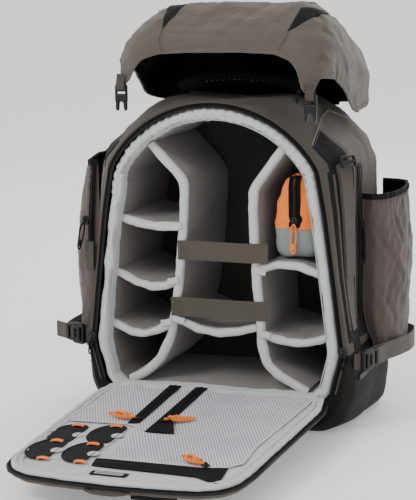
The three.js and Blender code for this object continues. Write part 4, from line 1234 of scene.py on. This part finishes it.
# plan of each pocket; its height, how far it is filled out there and how far it stands off the wall
POCKET_PLANS = {
    "left": [(192, -72), (212, -76), (232, -66), (245, -40), (251, 0), (251, 45), (246, 78), (228, 100),
             (192, 105)],
    "right": [(192, -16), (210, -22), (226, -12), (240, 8), (248, 35), (248, 62), (240, 88), (222, 102),
              (192, 105)],
}
POCKET_LEVELS = {
    "left": [(97, 0.46, 15.5), (118, 0.6, 15.5), (130, 0.78, 7.5), (165, 0.95, 0.5), (250, 1, 0),
             (320, 0.82, 0), (384, 0.42, 0)],
    "right": [(97, 0.46, 15.5), (118, 0.6, 15.5), (130, 0.78, 7.5), (165, 0.95, 0.5), (260, 1, 0),
              (335, 0.86, 0)],
}
MOUTHS = {"left": (376, 384), "right": (331, 338)}  # height at the front and at the rear
FOLDS = {
    "left": [((240, -40, 330), (247, -20, 235), 4, 3.0), ((222, -70, 290), (244, -38, 215), 4, 2.4),
             ((250, 20, 250), (247, -10, 160), 5, 2.0), ((215, -72, 190), (240, -50, 165), 4, 1.8)],
    "right": [((205, -20, 287), (224, -13, 258), 3.4, 2.8), ((224, -13, 258), (244, 20, 206), 4, 2.8),
              ((235, 6, 299), (243, 18, 261), 3.6, 2.4), ((240, 10, 240), (226, -8, 176), 4, 1.8),
              ((247, 50, 290), (246, 30, 190), 5, 1.8), ((212, -20, 200), (236, 4, 150), 4, 1.8)],
}


def pocket_grid(side, sign):
    """A side pocket from its floor to its mouth, with folds; it fills out as POCKET_LEVELS says."""
    plan = curve(POCKET_PLANS[side], POCKET_COUNT, 4)
    levels = array(POCKET_LEVELS[side])
    front, rear = MOUTHS[side]
    share = np.clip((plan[:, 1] - plan[:, 1].min()) / 120, 0, 1)
    mouth = front + (rear - front) * share * share * (3 - 2 * share)
    rows = []
    for k in np.linspace(0, 1, POCKET_ROWS):
        z = POCKET_FLOOR + (mouth - POCKET_FLOOR) * k
        fill = np.interp(z, levels[:, 0], levels[:, 1])
        stand = np.interp(z, levels[:, 0], levels[:, 2])
        rows.append(np.stack([193 + stand + (plan[:, 0] - 193) * fill, plan[:, 1], z], 1))
    grid = relax(np.stack(rows), 4)
    normals = outward_of(grid_normals(grid), grid - array((193, 40, CENTRE_HEIGHT)))
    wave = 1.3 * ripple(grid * (1, 1, 0.6), 46, 91) + 0.7 * ripple(grid, 19, 92) - 1.2
    wave += 0.3 * ripple(grid, 9, 93) + folds(grid, FOLDS[side], (0, 4, 5))
    index = np.arange(POCKET_COUNT)
    edge = np.clip(np.minimum(index, index[::-1]) / 8, 0, 1)[None, :]
    around = lengths(plan)
    height = np.linspace(0, 1, POCKET_ROWS)[:, None]
    near_mouth = np.clip((height - 0.86) / 0.14, 0, 1)
    gathers = 0.8 * np.sin(around * 2 * math.pi / 8.5 + np.sin(around / 17)) * near_mouth
    grid = grid + normals * ((wave + gathers) * edge)[..., None]
    grid[..., 0] *= sign
    return grid if sign > 0 else grid[:, ::-1]


POCKET_TREES = {}
for side, sign in SIDES:
    grid = pocket_grid(side, sign)
    pocket = surface(f"pocket_cloth_{side}", grid, ["pocket", "dark"], "bag",
                     replaces=[f"side_pocket_{side}"], modifiers=[sheet_thickness(1.6, -1.0, 1)])
    POCKET_TREES[side] = tree_of(pocket)
    floor_row = grid[0].copy()
    base = np.stack([floor_row, floor_row * 0.5 + array((sign * 200, 40, POCKET_FLOOR)) * 0.5,
                     floor_row * 0.02 + array((sign * 199, 40, POCKET_FLOOR)) * 0.98])
    surface(f"pocket_floor_{side}", base, "pocket", "bag", modifiers=[sheet_thickness(1.6)])
    top = grid[-1]
    out = unit(np.stack([top[:, 0] - sign * 185, top[:, 1] - 45, top[:, 0] * 0], 1))
    strap(f"pocket_mouth_{side}", top + out * 0.5 - (0, 0, 3.4), out, 8.5, 3.0, "black_web")
    beads(f"pocket_stitch_{side}", top + out * 1.6 - (0, 0, 10.5), out, (0.7, 0.5, 2.4), 4, "thread")
    for edge, tag in ((grid[:, 0], "front"), (grid[:, -1], "rear")):
        tube(f"pocket_seam_{side}_{tag}", edge[:-1] + (sign * 0.6, 0, 0), 1.2, "pocket")

# left zip with its folded tab, on the front edge of the pocket
points, normals = laid_line(POCKET_TREES["left"], [(-199, -84, 368), (-203, -84, 320), (-206, -84, 270),
                            (-207, -84, 215)], (0, 1, 0), 1.2, 50)
points = soften(points, 12)
strap("pocket_zip_left", points, (-0.3, -0.95, 0), 10, 1.4, "tape")
beads("pocket_teeth_left", points + (-0.3, -1.0, 0), (-0.3, -0.95, 0), (3.4, 1.2, 1.3), 2.4, "coil")
tab = spread(points[36:], 16) + (-1, -2.0, 0)
strap("pocket_tab_left", curve(tab, 20), (-0.3, -0.95, 0), 16, 2.4, "taupe_web")

# ---- compression straps and side buckles ---------------------------------------------------
# start, direction in degrees, straight length, the rest of its way round the pocket, lower and upper edge
STRAPS = {
    "left": ((207, -97), 25, 42, [(248, -50), (249, 0), (249, 45), (244, 80), (229, 104), (205, 111)],
             (107, 133)),
    "right": ((207.5, -96), 71.5, 106, [(249, 36), (249, 66), (243, 92), (228, 107), (209, 111)], (94, 120)),
}
for side, sign in SIDES:
    start, turn, straight, rest, (low, high) = STRAPS[side]
    turn, middle = math.radians(turn), (low + high) / 2
    ahead = array((math.cos(turn), math.sin(turn)))
    out = array((math.sin(turn) * sign, -math.cos(turn), 0))
    bend = array(start) + ahead * straight
    straight_part = spread([start, bend], 14)
    plan = np.vstack([straight_part, curve(np.vstack([bend, rest]), 60, 3)[1:]])
    line = raised(plan * (sign, 1), middle)
    t = tangents(line)
    normals = np.stack([t[:, 1] * sign, -t[:, 0] * sign, t[:, 2] * 0], 1)
    strap(f"compression_webbing_{side}", line, normals, high - low, 2.0, "taupe_web",
          replaces=[f"compression_strap_{side}"])
    across = array((ahead[0] * sign, ahead[1], 0))
    origin = array((start[0] * sign, start[1], middle))
    spot = origin + out * 5.7
    above = np.cross(out, across)
    flip = 1 if above[2] > 0 else -1
    cut_plate(f"side_socket_{side}", [rounded(25, 31, 5) + (11.6, 0), rounded(6, 20, 1.6) + (4.5, 0),
              rounded(4.5, 14, 1.4) + (15.5, 0)], 8.2, 2.2, "plastic", "bag", basis(spot, across, above, out),
              replaces=[f"side_buckle_socket_{side}"])
    plug = [(24.6, -13), (36, -13), (38.5, -9), (38.5, 9), (36, 13), (24.6, 13), (24.6, 9.4), (11, 9),
            (9.6, 6.4), (11, 4.4), (21, 4), (21, 1.4), (10, 1.2), (10, -1.2), (21, -1.4), (21, -4),
            (11, -4.4), (9.6, -6.4), (11, -9), (24.6, -9.4)]
    cut_plate(f"side_plug_{side}", [plug, rounded(4, 18, 1.2) + (31.5, 0)], 5.2, 1.2, "plastic",
              f"side_plug_{side}", basis(spot - out * 0.3, across, above, out),
              replaces=[f"side_buckle_plug_{side}"])
    fold = [origin + across * 34 + out * 2.4, origin + across * 40 + out * 6.4,
            origin + across * 50 + out * 5.0, origin + across * 64 + out * 4.0]
    strap(f"side_fold_{side}", curve(fold, 24), out, 24, 1.8, "taupe_web", f"side_plug_{side}")
    near = [origin - across * 10 - out * 1.2, origin - across * 2 + out * 1.2, origin + across * 6 + out * 5]
    strap(f"side_anchor_{side}", curve(near, 16), out, 22, 1.9, "taupe_web")

laid_strap("foot_webbing_right", [(206, -84, 80), (206, -50, 84)], (-1, 0, 0), 1.4, (9, 2.0), "taupe_web", 20)

# zip sliders with cord loops beside the pockets
slider("pocket_slider_right", (194.8, -30, 290), (0, -1, 0), (1, 0, 0), "side_slider_right", 1.1)
cord_loop("pocket_cord_right", (196.6, -30, 287), (196, -22, 232), (1, 0, 0), 4.0, 1.5, "black_web",
          "side_slider_right")
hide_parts("side_zip_slider_right")
slider("pocket_slider_left", (-208.5, -87.5, 289), (-1, 0, 0), (-0.2, -0.98, 0), "side_slider_left", 1.1)
cord_loop("pocket_cord_left", (-211, -89, 286), (-221, -87, 245), (-0.2, -0.98, 0), 4.0, 1.5, "black_web",
          "side_slider_left")
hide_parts("side_zip_slider_left")

# main zip sliders
for side, sign in SIDES:
    lean = 0.1318
    x = (190 - lean * 6) * sign
    slider(f"main_slider_body_{side}", (x, -119.6, 122), (1, 0, sign * lean), (0, -1, 0),
           f"main_slider_{side}", 1.25)
    cord_loop(f"main_slider_cord_{side}", (x, -121, 117), (x + sign * 3.5, -120.4, 96), (0, -1, 0), 3.0, 1.5,
              "black_web", f"main_slider_{side}", False)
    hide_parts(f"main_zip_slider_{side}")


# ---- lid -----------------------------------------------------------------------------------
# height; half width at the rear and at the front; lean; rear end; front end; corner radius
LID_LEVELS = array([
    (-62, 177, 149, 0, 0, -262, 38), (-22, 179, 150, 0, 0, -264, 40), (0, 180, 151, 0, 0, -265, 42),
    (32, 177, 149, 4, -2, -258, 44), (62, 160, 141, 9, -8, -240, 42), (84, 142, 124, 12, -18, -222, 36),
    (97, 120, 108, 14, -34, -206, 28)
])
# where the lid's edge hangs: distance from the hinge, or from the middle at the front, and height
EDGE_RIGHT = array([(-272, -46), (-253, -46), (-247, -22), (-232, -19), (-206, -13), (-167, -19), (-122, -29),
                    (-103, -34), (-86, -34), (-50, -18), (1, -4)])
EDGE_LEFT = array([(-272, -34), (-253, -34), (-252, -20), (-247, 0), (-236, 5), (-200, 16), (-160, 20),
                   (-120, 18), (-80, 14), (-40, 6), (1, 2)])
EDGE_FRONT = array([(0, 10), (40, 10), (84, 8), (108, -2), (122, -18), (126, -34), (126.5, -62), (300, -62)])
LID_COUNT, LID_TOP = 320, 96.5


def lid_ring(z):
    """The lid's outline at one height for each, in its own axes; it starts at the middle of the rear."""
    wide, narrow, lean, rear, front, radius = (np.interp(z, LID_LEVELS[:, 0], LID_LEVELS[:, k])
        for k in range(1, 7))
    unit_ring = spread(rounded(2, 2, 0.4, 10), LID_COUNT, True)
    square = unit_ring / np.max(np.abs(unit_ring), axis=1, keepdims=True)
    half_depth = (rear - front) / 2
    x, y = square[:, 0] * wide, square[:, 1] * half_depth
    over_x, over_y = np.abs(x) - (wide - radius), np.abs(y) - (half_depth - radius)
    corner = (over_x > 0) & (over_y > 0)
    length = np.hypot(over_x, over_y) + 1e-9
    x = np.where(corner, np.sign(x) * (wide - radius + over_x / length * radius), x)
    y = np.where(corner, np.sign(y) * (half_depth - radius + over_y / length * radius), y)
    y = y + (rear + front) / 2
    forward = y / front
    x = x * (1 - (1 - narrow / wide) * forward * forward)
    return np.stack([x - 0.09 * y - 7 + lean, y, z * np.ones(LID_COUNT)], 1)


def lid_edge():
    """How low the lid's edge hangs all round, in its own axes."""
    z = np.zeros(LID_COUNT)
    for _ in range(8):
        ring = lid_ring(z)
        x, y = ring[:, 0], ring[:, 1]
        side = np.where(x > 0, np.interp(y, EDGE_RIGHT[:, 0], EDGE_RIGHT[:, 1]),
                        np.interp(y, EDGE_LEFT[:, 0], EDGE_LEFT[:, 1]))
        front = np.where(y < -150, np.interp(abs(x - 15), EDGE_FRONT[:, 0], EDGE_FRONT[:, 1]), -62)
        side = np.where(abs(x) < 60, -62, side)
        rear = np.where(y > -30, 1.0, -62)
        z = z * 0.3 + 0.7 * np.maximum(np.maximum(side, front), np.maximum(rear, -46))
    return z


def lid_grid():
    """The lid from its edge over the sides to the middle of the top."""
    edge = lid_edge()
    rows = []
    for k in np.linspace(0, 1, 56):
        rows.append(lid_ring(edge + (LID_TOP - edge) * k))
    top = rows[-1]
    middle = array((24, -120))
    for k, rise in ((0.94, 0.8), (0.84, 1.6), (0.7, 2.2), (0.52, 2.6), (0.34, 2.8), (0.17, 2.9), (0.02, 3.0)):
        rows.append(np.stack([middle[0] + (top[:, 0] - middle[0]) * k,
                              middle[1] + (top[:, 1] - middle[1]) * k,
                              np.full(LID_COUNT, LID_TOP - 0.5 + rise)], 1))
    grid = relax(np.stack(rows), 5)
    for _ in range(2):
        grid = grid * 0.6 + (np.roll(grid, 1, 1) + np.roll(grid, -1, 1)) * 0.2
    return grid


LID = lid_grid()
LID_MIDDLE = array((10, -120, -40))
LID_NORMALS = outward_of(grid_normals(LID, closed_cols=True), LID - LID_MIDDLE)
LID_FOLDS = [
    ((145, -225, 70), (172, -205, -13), 5, 3.0), ((159, -233, 47), (174, -169, 7), 5, 2.6),
    ((133, -259, 26), (166, -243, 3), 4, 2.2), ((120, -200, 80), (172, -130, 20), 7, 2.0),
    ((-60, -255, 40), (60, -258, 34), 6, 1.2), ((-130, -235, 40), (-165, -150, 26), 6, 1.8),
    ((-40, -262, 14), (50, -262, 22), 4, 1.2), ((60, -150, 99), (110, -60, 92), 9, 1.6),
    ((-90, -190, 90), (-40, -90, 99), 10, 1.4)
]


def lid_shape():
    wave = 1.3 * ripple(LID, 78, 101) + 0.7 * ripple(LID, 30, 102) + 0.3 * ripple(LID, 12, 103) - 0.8
    wave += folds(LID, LID_FOLDS, (4.5, 4.5, 3.0))
    return LID + LID_NORMALS * wave[..., None]


LID_LOCAL = lid_shape()
grid = on_lid(LID_LOCAL)
vertices, faces, uv = skin(grid, closed_cols=True)
lid = piece("lid_cloth", vertices, faces, ["taupe", "dark"], "lid", uv, replaces=["lid"])
LID_TREE = tree_of(lid)
mesh = bmesh.new()
mesh.from_mesh(lid.data)
bmesh.ops.recalc_face_normals(mesh, faces=mesh.faces)
mesh.to_mesh(lid.data)
mesh.free()
normals_world = outward_of(grid_normals(grid, closed_cols=True), grid - on_lid(LID_MIDDLE))
solid = lid.modifiers.new("thickness", "SOLIDIFY")
solid.thickness, solid.offset, solid.material_offset, solid.material_offset_rim = 3.2 * MM, -1, 1, 0


def lid_line(rows_up, out):
    """A line along the lid's lower edge, a number of millimetres up from it."""
    line = []
    for column in LID_LOCAL.transpose(1, 0, 2):
        along = lengths(column)
        line.append([np.interp(rows_up, along, column[:, k]) for k in range(3)])
    return on_lid(line) + normals_world[3] * out, normals_world[3]


line, near = lid_line(7.0, 0.25)
beads("lid_hem_stitch", line, near, (0.6, 0.45, 2.4), 4, "thread", "lid", closed=True)
line, near = lid_line(0.2, -1.2)
tube("lid_edge_binding", line, 1.7, "taupe", "lid", closed=True)


def on_lid_line(points, direction, lift, count=40):
    start = on_lid(spread(points, count))
    way = turned(direction, (0, 0, 0), -LID_RAISE)
    return drape(LID_TREE, start - unit(way) * RAY_START, way, lift)


def lid_patch(name, corners, direction, kind):
    way = turned(direction, (0, 0, 0), -LID_RAISE)
    return lay(name, LID_TREE, on_lid(corners), way, kind, "lid", 0.7, 1.0)


lid_patch("lid_gusset_right", [(113, -253, 40), (121, -226, 80), (154, -202, 79), (133, -244, 57)],
          (-0.4, 0.85, -0.35), "black")
lid_patch("lid_gusset_left", [(-72, -250, 46), (-64, -238, 70), (-54, -212, 90), (-80, -210, 90)],
          (0.3, 0.82, -0.5), "black")
for name, line in {
    "left": [(-73, -250, 46), (-72, -258, 26), (-66, -264, 8)],
    "right": [(113, -255, 38), (110, -259, 28), (103, -263, 12)],
}.items():
    points, normals = on_lid_line(line, (0, 1, -0.1), 0.5)
    tube(f"lid_seam_{name}", points, 1.1, "taupe", "lid")
    beads(f"lid_seam_stitch_{name}", points + (3.2, 0, 0), normals, (0.6, 0.4, 2.2), 3.8, "thread", "lid")
for side, sign in SIDES:
    points, normals = on_lid_line([(sign * 112 + 14, -210, 90), (sign * 132 + 12, -120, 90),
                                  (sign * 130 + 10, -50, 90)], (-sign * 0.4, 0, -0.9), 0.5, 50)
    tube(f"lid_top_piping_{side}", points, 1.2, "taupe", "lid")

# buckle plugs with their webbing tabs
for side, place in (("left", (-122, -259, -37)), ("right", (154, -259, -49))):
    pivot = on_lid(place)
    outline = [(-8.2, 0), (8.2, 0), (9, -3), (9, -22), (8.2, -26), (8.4, -33), (7.2, -36.5), (4.6, -36.5),
               (3.8, -33), (3.4, -26.5), (1.4, -24), (-1.4, -24), (-3.4, -26.5), (-3.8, -33), (-4.6, -36.5),
               (-7.2, -36.5), (-8.4, -33), (-8.2, -26), (-9, -22), (-9, -3)]
    cut_plate(f"lid_plug_{side}", [outline[::-1], rounded(12.5, 3.2, 1) + (0, -4.5),
              rounded(12.5, 3, 1) + (0, -11.5)], 6.0, 1.5, "plastic", f"lid_buckle_{side}",
              basis(pivot, (1, 0, 0), (0, 0, 1), (0, -1, 0)), replaces=[f"lid_buckle_plug_{side}"])
    top = on_lid(array(place) + (0, -5.5, 14))
    tab = [top, top + (0, -0.4, -6), pivot + (0, -4.4, 4), pivot + (0, -4.0, -5), pivot + (0, -0.5, -7.5),
           pivot + (0, 3.4, -5), pivot + (0, 3.8, 5)]
    strap(f"lid_tab_{side}", curve(tab, 44, 3), (0, -1, 0.05), 12, 1.5, "taupe_web", "lid")
start = on_lid((146, -260, -42))
for number, (x, tip) in enumerate(((-8, -18), (10, -26))):
    cord_loop(f"lid_pull_{number}", start + (x, 0, 0), start + (x * 1.4, -1.5, tip), (0, -1, 0), 2.0, 1.0,
              "black_web", "lid")

# the lid's rear collar at the hinge
line = []
for k, (y, z) in enumerate(((102, 447), (108, 451), (113, 454), (116.5, 458), (118, 464))):
    x = np.linspace(-128, 128, 60)
    bulge = 1.2 * np.sin(x / 9 + k) * (0.2 + 0.2 * k)
    line.append(np.stack([x - 3, np.full(60, y) + bulge * 0.3, np.full(60, z) + bulge * 0.4], 1))
bent(surface("lid_collar", np.stack(line), "black", None, modifiers=[sheet_thickness(1.6)]))


# ---- front panel ---------------------------------------------------------------------------
PANEL_LENGTH = 405
PANEL_HALF = [(0, 0), (156, 0), (167, 60), (163, 160), (159, 250), (156, 325), (151, 360), (138, 382),
              (112, 396), (60, 402), (0, PANEL_LENGTH)]
PANEL = mirrored(PANEL_HALF) * (1, -1)
PANEL = soften(spread(PANEL[::-1], 360, True), 4, True)


def along_hinge(pairs):
    """Plan positions on the panel given as (u, distance from the hinge)."""
    return array(pairs) * (1, -1)


def lining_top(flat, d):
    return -1.4 + 1.4 * (1 - np.exp(-d / 5)) + 0.35 * ripple(raised(flat, 0), 60, 111) - 0.35


def panel_edge(distance, h):
    loop = grow(PANEL, distance)
    return on_panel(raised(loop, h))


lining = patch("panel_padding", grow(PANEL, -6), on_panel, "lining", "front_panel", lining_top, level(-4.7),
               8, (1.5, 3.5, 6.5), replaces=["panel_lining"])
PANEL_OPEN = PANEL[(PANEL[:, 1] < -8)]
start = np.argmax(np.linalg.norm(np.diff(PANEL_OPEN, axis=0), axis=1))
PANEL_OPEN = np.roll(PANEL_OPEN, -(start + 1), 0)


def panel_line(distance, h):
    loop = open_grow(PANEL_OPEN, distance)
    return on_panel(raised(loop, h))


panel_up = turned((0, 0, 1.0), (0, 0, 0), PANEL_DROOP)
around = lengths(PANEL_OPEN)
for name, distance, h, radius in (("outer", -4.2, -1.2, 4.3), ("inner", -12.0, -0.9, 3.6)):
    line = panel_line(distance, h)
    grid = sweep(line, panel_up, ellipse(2 * radius, 2 * radius, 16))
    grid += 0.35 * ripple(grid, 26, 120)[..., None] * panel_up
    grid += (0.35 * np.sin(around / 3.4) * np.clip((around - 200) / 60, 0, 1))[:, None, None] * panel_up
    roll = surface(f"panel_roll_{name}", grid, "lining", "front_panel", closed_cols=True, caps=True)
tube("panel_roll_seam", panel_line(-8.1, 1.0), 0.6, "pale_thread", "front_panel", sides=6)
line = panel_line(1.8, -5.2)
outwards = unit(panel_line(6, -5.2) - panel_line(0, -5.2))
strap("panel_zip_tape", line, outwards * 0.35 + panel_up, 8.0, 1.4, "tape", "front_panel",
      replaces=["panel_zip_track"])
beads("panel_zip_teeth", panel_line(5.0, -5.6), outwards * 0.35 + panel_up, (3.2, 2.2, 1.5), 2.6, "coil",
      "front_panel")


def panel_wall():
    """The panel's outer shell: round its edge and across its outer face."""
    profile = [(-3.5, -4.9), (0.4, -5.6), (1.0, -7.5), (1.2, -10), (0.8, -12.5), (-1.0, -14), (-6, -14.3),
               (-16, -14.3)]
    rows = [panel_edge(d, h) for d, h in profile]
    centre = on_panel((0, -202, -14.3))
    for share in (0.8, 0.55, 0.3, 0.02):
        rows.append(centre + (rows[7] - centre) * share)
    grid = np.stack(rows)
    wave = 0.5 * ripple(grid[1:7], 40, 131) + 0.2 * ripple(grid[1:7], 14, 132)
    grid[1:7] += wave[..., None] * (0.7, 0.7, 0.2)
    return grid


surface("panel_cloth", panel_wall(), "taupe", "front_panel", closed_cols=True,
                  replaces=["panel_shell"])


def front_pocket_grid():
    """The pocket under the panel; where it would reach the ground it lies flat."""
    margin, droop = 22, math.radians(PANEL_DROOP)
    outline = grow(PANEL, -margin)
    rows = []
    for depth, narrow, end in ((-14.4, 0, 30), (-19, 3, 46), (-26, 12, 80), (-33, 20, 108), (-38, 28, 130),
                               (-42, 36, 160), (None, 44, 185), (None, 70, 220), (None, 110, 280)):
        near, far = -margin - 14 - narrow / 3, end - PANEL_LENGTH
        y = near + (outline[:, 1] + margin) * (near - far) / (PANEL_LENGTH - 2 * margin)
        sole = (0.3 - PANEL_HINGE[2] - y * math.sin(droop)) / math.cos(droop)
        h = sole if depth is None else np.maximum(depth, sole)
        rows.append(on_panel(np.column_stack([outline[:, 0] * (1 - narrow / 150), y, h * np.ones(len(y))])))
    middle = rows[-1].mean(0)
    rows.append(middle + (rows[-1] - middle) * 0.02)
    grid = np.stack(rows)
    amount = np.zeros((len(rows), 1))
    amount[1:6] = 1
    normals = grid_normals(grid, closed_cols=True)
    return grid + normals * ((1.0 * ripple(grid, 45, 141) + 0.4 * ripple(grid, 16, 142)) * amount)[..., None]


surface("front_pocket_cloth", front_pocket_grid(), "taupe", "front_panel", closed_cols=True,
        replaces=["front_pocket"])

# what is sewn on the inner face
MESH = along_hinge([(-146, 12), (146, 12), (140, 120), (132, 238), (136, 300), (124, 318), (104, 325),
                    (-36, 326), (-45, 200), (-62, 192), (-144, 196)])


def mesh_top(flat, d):
    return 1.5 + 0.9 * ripple(raised(flat, 0), 50, 151) * np.clip(d / 20, 0, 1)


net = patch("mesh_sheet", MESH[::-1], on_panel, "net", "front_panel", mesh_top, None, 7, (2,),
            replaces=["mesh_pockets"], modifiers=[sheet_thickness(0.7)])
area = abs(signed_area(spread(MESH[::-1], 4000, True)))
line = on_panel(raised(spread(MESH[::-1], 300, True), 1.7))
strap("mesh_binding", line, panel_up, 4, 0.9, "lining", "front_panel", closed=True)


def panel_band(name, outline, h, thickness, kind, body="front_panel", **more):
    """A flat cut piece of tape on the panel, from its corners."""
    outline = along_hinge(outline)
    if signed_area(outline) < 0:
        outline = outline[::-1]
    return patch(name, outline, on_panel, kind, body, level(h + thickness), level(h), 5, (1,), **more)


def panel_teeth(name, pairs, h=4.4):
    line = raised(spread(along_hinge(pairs), 60), h)
    beads(name, on_panel(line), panel_up, (4.2, 1.0, 1.3), 2.3, "plastic", "front_panel")


panel_band("mesh_zip_left", [(-71, 14), (-53, 14), (-47, 188), (-62, 192)], 2.4, 1.5, "tape",
           replaces=["panel_zip_left"])
panel_teeth("mesh_teeth_left", [(-62, 16), (-56, 172)])
panel_band("mesh_zip_centre", [(-31, 14), (-13, 14), (-9, 160), (14, 218), (-26, 221), (-27, 160)], 2.4, 1.5,
           "tape", replaces=["panel_zip_centre"])
panel_teeth("mesh_teeth_centre", [(-22, 16), (-18, 172)])
panel_band("mesh_zip_front", [(-47, 330), (86, 330), (125, 321), (132, 380), (96, 360), (-42, 356)], 0.9, 1.2,
           "tape", replaces=["panel_zip_front"])
panel_teeth("mesh_teeth_front", [(-38, 344), (92, 345)], 2.3)

# four card pockets: round at one side, cut straight at the other, in two overlapping pairs
CARD_COLUMNS, CARD_ROWS, CARD_HALF, CARD_CUT = (-122, -71), (249, 315), (25, 38), 52
CARD_CENTRES = [(u, s - 10 * (u > -100) * (s < 300)) for u in CARD_COLUMNS for s in CARD_ROWS]


def card_outline(u, s):
    turn = np.radians(np.linspace(CARD_CUT, 360 - CARD_CUT, 40))
    return np.stack([u + CARD_HALF[0] * np.cos(turn), s + CARD_HALF[1] * np.sin(turn)], 1)


NOTCHES = [(u + 15, s + 3) for u, s in CARD_CENTRES]
TABS = [(u, s - CARD_HALF[1] + 8) for u, s in CARD_CENTRES]
TABS += [(u + 12, CARD_ROWS[1] + 37) for u in CARD_COLUMNS]
panel_band("card_base", rounded(80, 132, 12) * (1, -1) + (-93, 276), 0.3, 0.5, "lining",
           replaces=["card_pockets"])
for number, centre in enumerate(CARD_CENTRES):
    lift = 0.9 + 0.9 * (number % 2)
    panel_band(f"card_pocket_{number}", curve(card_outline(*centre), 70, 2, True), lift, 1.0, "black")
    rim_line = on_panel(raised(along_hinge(curve(card_outline(*centre), 90, 2, True)), lift + 1.1))
    tube(f"card_rim_{number}", rim_line, 0.7, "black_web", "front_panel", closed=True, sides=6)
    turn = np.linspace(0, 2 * math.pi, 18, endpoint=False)
    notch = array(NOTCHES[number]) + np.stack([np.cos(turn) * 8, np.sin(turn) * 9], 1)
    panel_band(f"card_notch_{number}", notch, lift + 1.0, 0.35, "lining")
for number, (u, s) in enumerate(TABS):
    line = [on_panel((u - 8, -s - 1, 3.0)), on_panel((u - 3, -s, 4.4)), on_panel((u + 3, -s, 4.4)),
            on_panel((u + 8, -s + 1, 3.0))]
    strap(f"card_tab_{number}", curve(line, 14, 2), panel_up, 8, 1.2, "orange", "front_panel")
panel_band("label", [(-33, 371), (15, 371), (15, 384), (-33, 384)], 0.6, 0.9, "black")
line = on_panel(raised(spread(along_hinge([(-27, 375), (9, 375), (9, 380), (-27, 380)]), 80, True), 1.6))
strap("label_frame", line, panel_up, 1.6, 0.8, "lining", "front_panel", closed=True)

# cord pulls on the mesh zips
for name, (u, s, turn) in {"left": (-55, 176, 168), "centre": (-18, 178, 27),
                           "front": (98, 328, 149)}.items():
    way = array((math.cos(math.radians(turn)), math.sin(math.radians(turn))))
    side = array((-way[1], way[0]))

    def at(forward, aside, h):
        flat = array((u, -s)) + way * forward + side * aside
        return on_panel((flat[0], flat[1], h))

    ahead = turned((way[0], way[1], 0), (0, 0, 0), PANEL_DROOP)
    slider(f"mesh_slider_{name}", at(0, 0, 5.6), np.cross(ahead, panel_up), panel_up, f"panel_pull_{name}",
           0.95)
    path = [at(2, 0, 7.0), at(10, 4.0, 6.6), at(22, 6.5, 6.2), at(33, 5.0, 6.2), at(38, 0, 6.6),
            at(34, -4.6, 8.6), at(24, -2.0, 9.4), at(15, 3.4, 9.0), at(14, -3.6, 7.4), at(25, -5.4, 6.4),
            at(37, -3.4, 6.4), at(45, 2.0, 6.4)]
    rope(f"mesh_pull_{name}", curve(path, 170, 4), 2.3, "cord", f"panel_pull_{name}", 2, 6.0)
    knot = np.linspace(0, 4 * math.pi, 60)
    coil = array([at(9 + 1.4 * a, 3.6 * math.cos(a), 7.8 + 2.6 * math.sin(a)) for a in knot])
    rope(f"mesh_pull_knot_{name}", coil, 1.9, "cord", f"panel_pull_{name}", 2, 6.0)
    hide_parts(f"panel_pull_{name}")

# webbing at the free end
line = on_panel([(-27, -402, -9), (-25, -409, -10), (-14, -413, -11), (0, -414, -11), (14, -413, -11),
                 (25, -409, -10), (27, -402, -9)])
strap("panel_end_loop", curve(line, 50, 3), panel_up, 9, 1.8, "taupe_web", "front_panel")
line = on_panel([(30, -403, -12), (58, -402, -12.5), (87, -398, -12)])
strap("panel_end_strap", curve(line, 40, 2), turned((0, -1.0, 0.2), (0, 0, 0), PANEL_DROOP), 12, 1.8,
      "black_web", "front_panel")

# cloth gusset at the panel's hinge
rows = []
for y, z, h in ((-106, 55, 0), (-110, 57.2, 0), (-113.5, 58.2, 0), (-117.5, 58.0, 0), (-121.5, 58.3, 0),
                (-126, 58.2, 0), (-131, 58.4, 0)):
    x = np.linspace(-151, 151, 120)
    bulge = 0.5 * np.sin(x / 11 + y) + 0.3 * np.sin(x / 4.3)
    rows.append(np.stack([x + 4, np.full(120, y), z + bulge], 1))
bent(surface("panel_gusset", np.stack(rows), "lining", None, modifiers=[sheet_thickness(1.6)]))
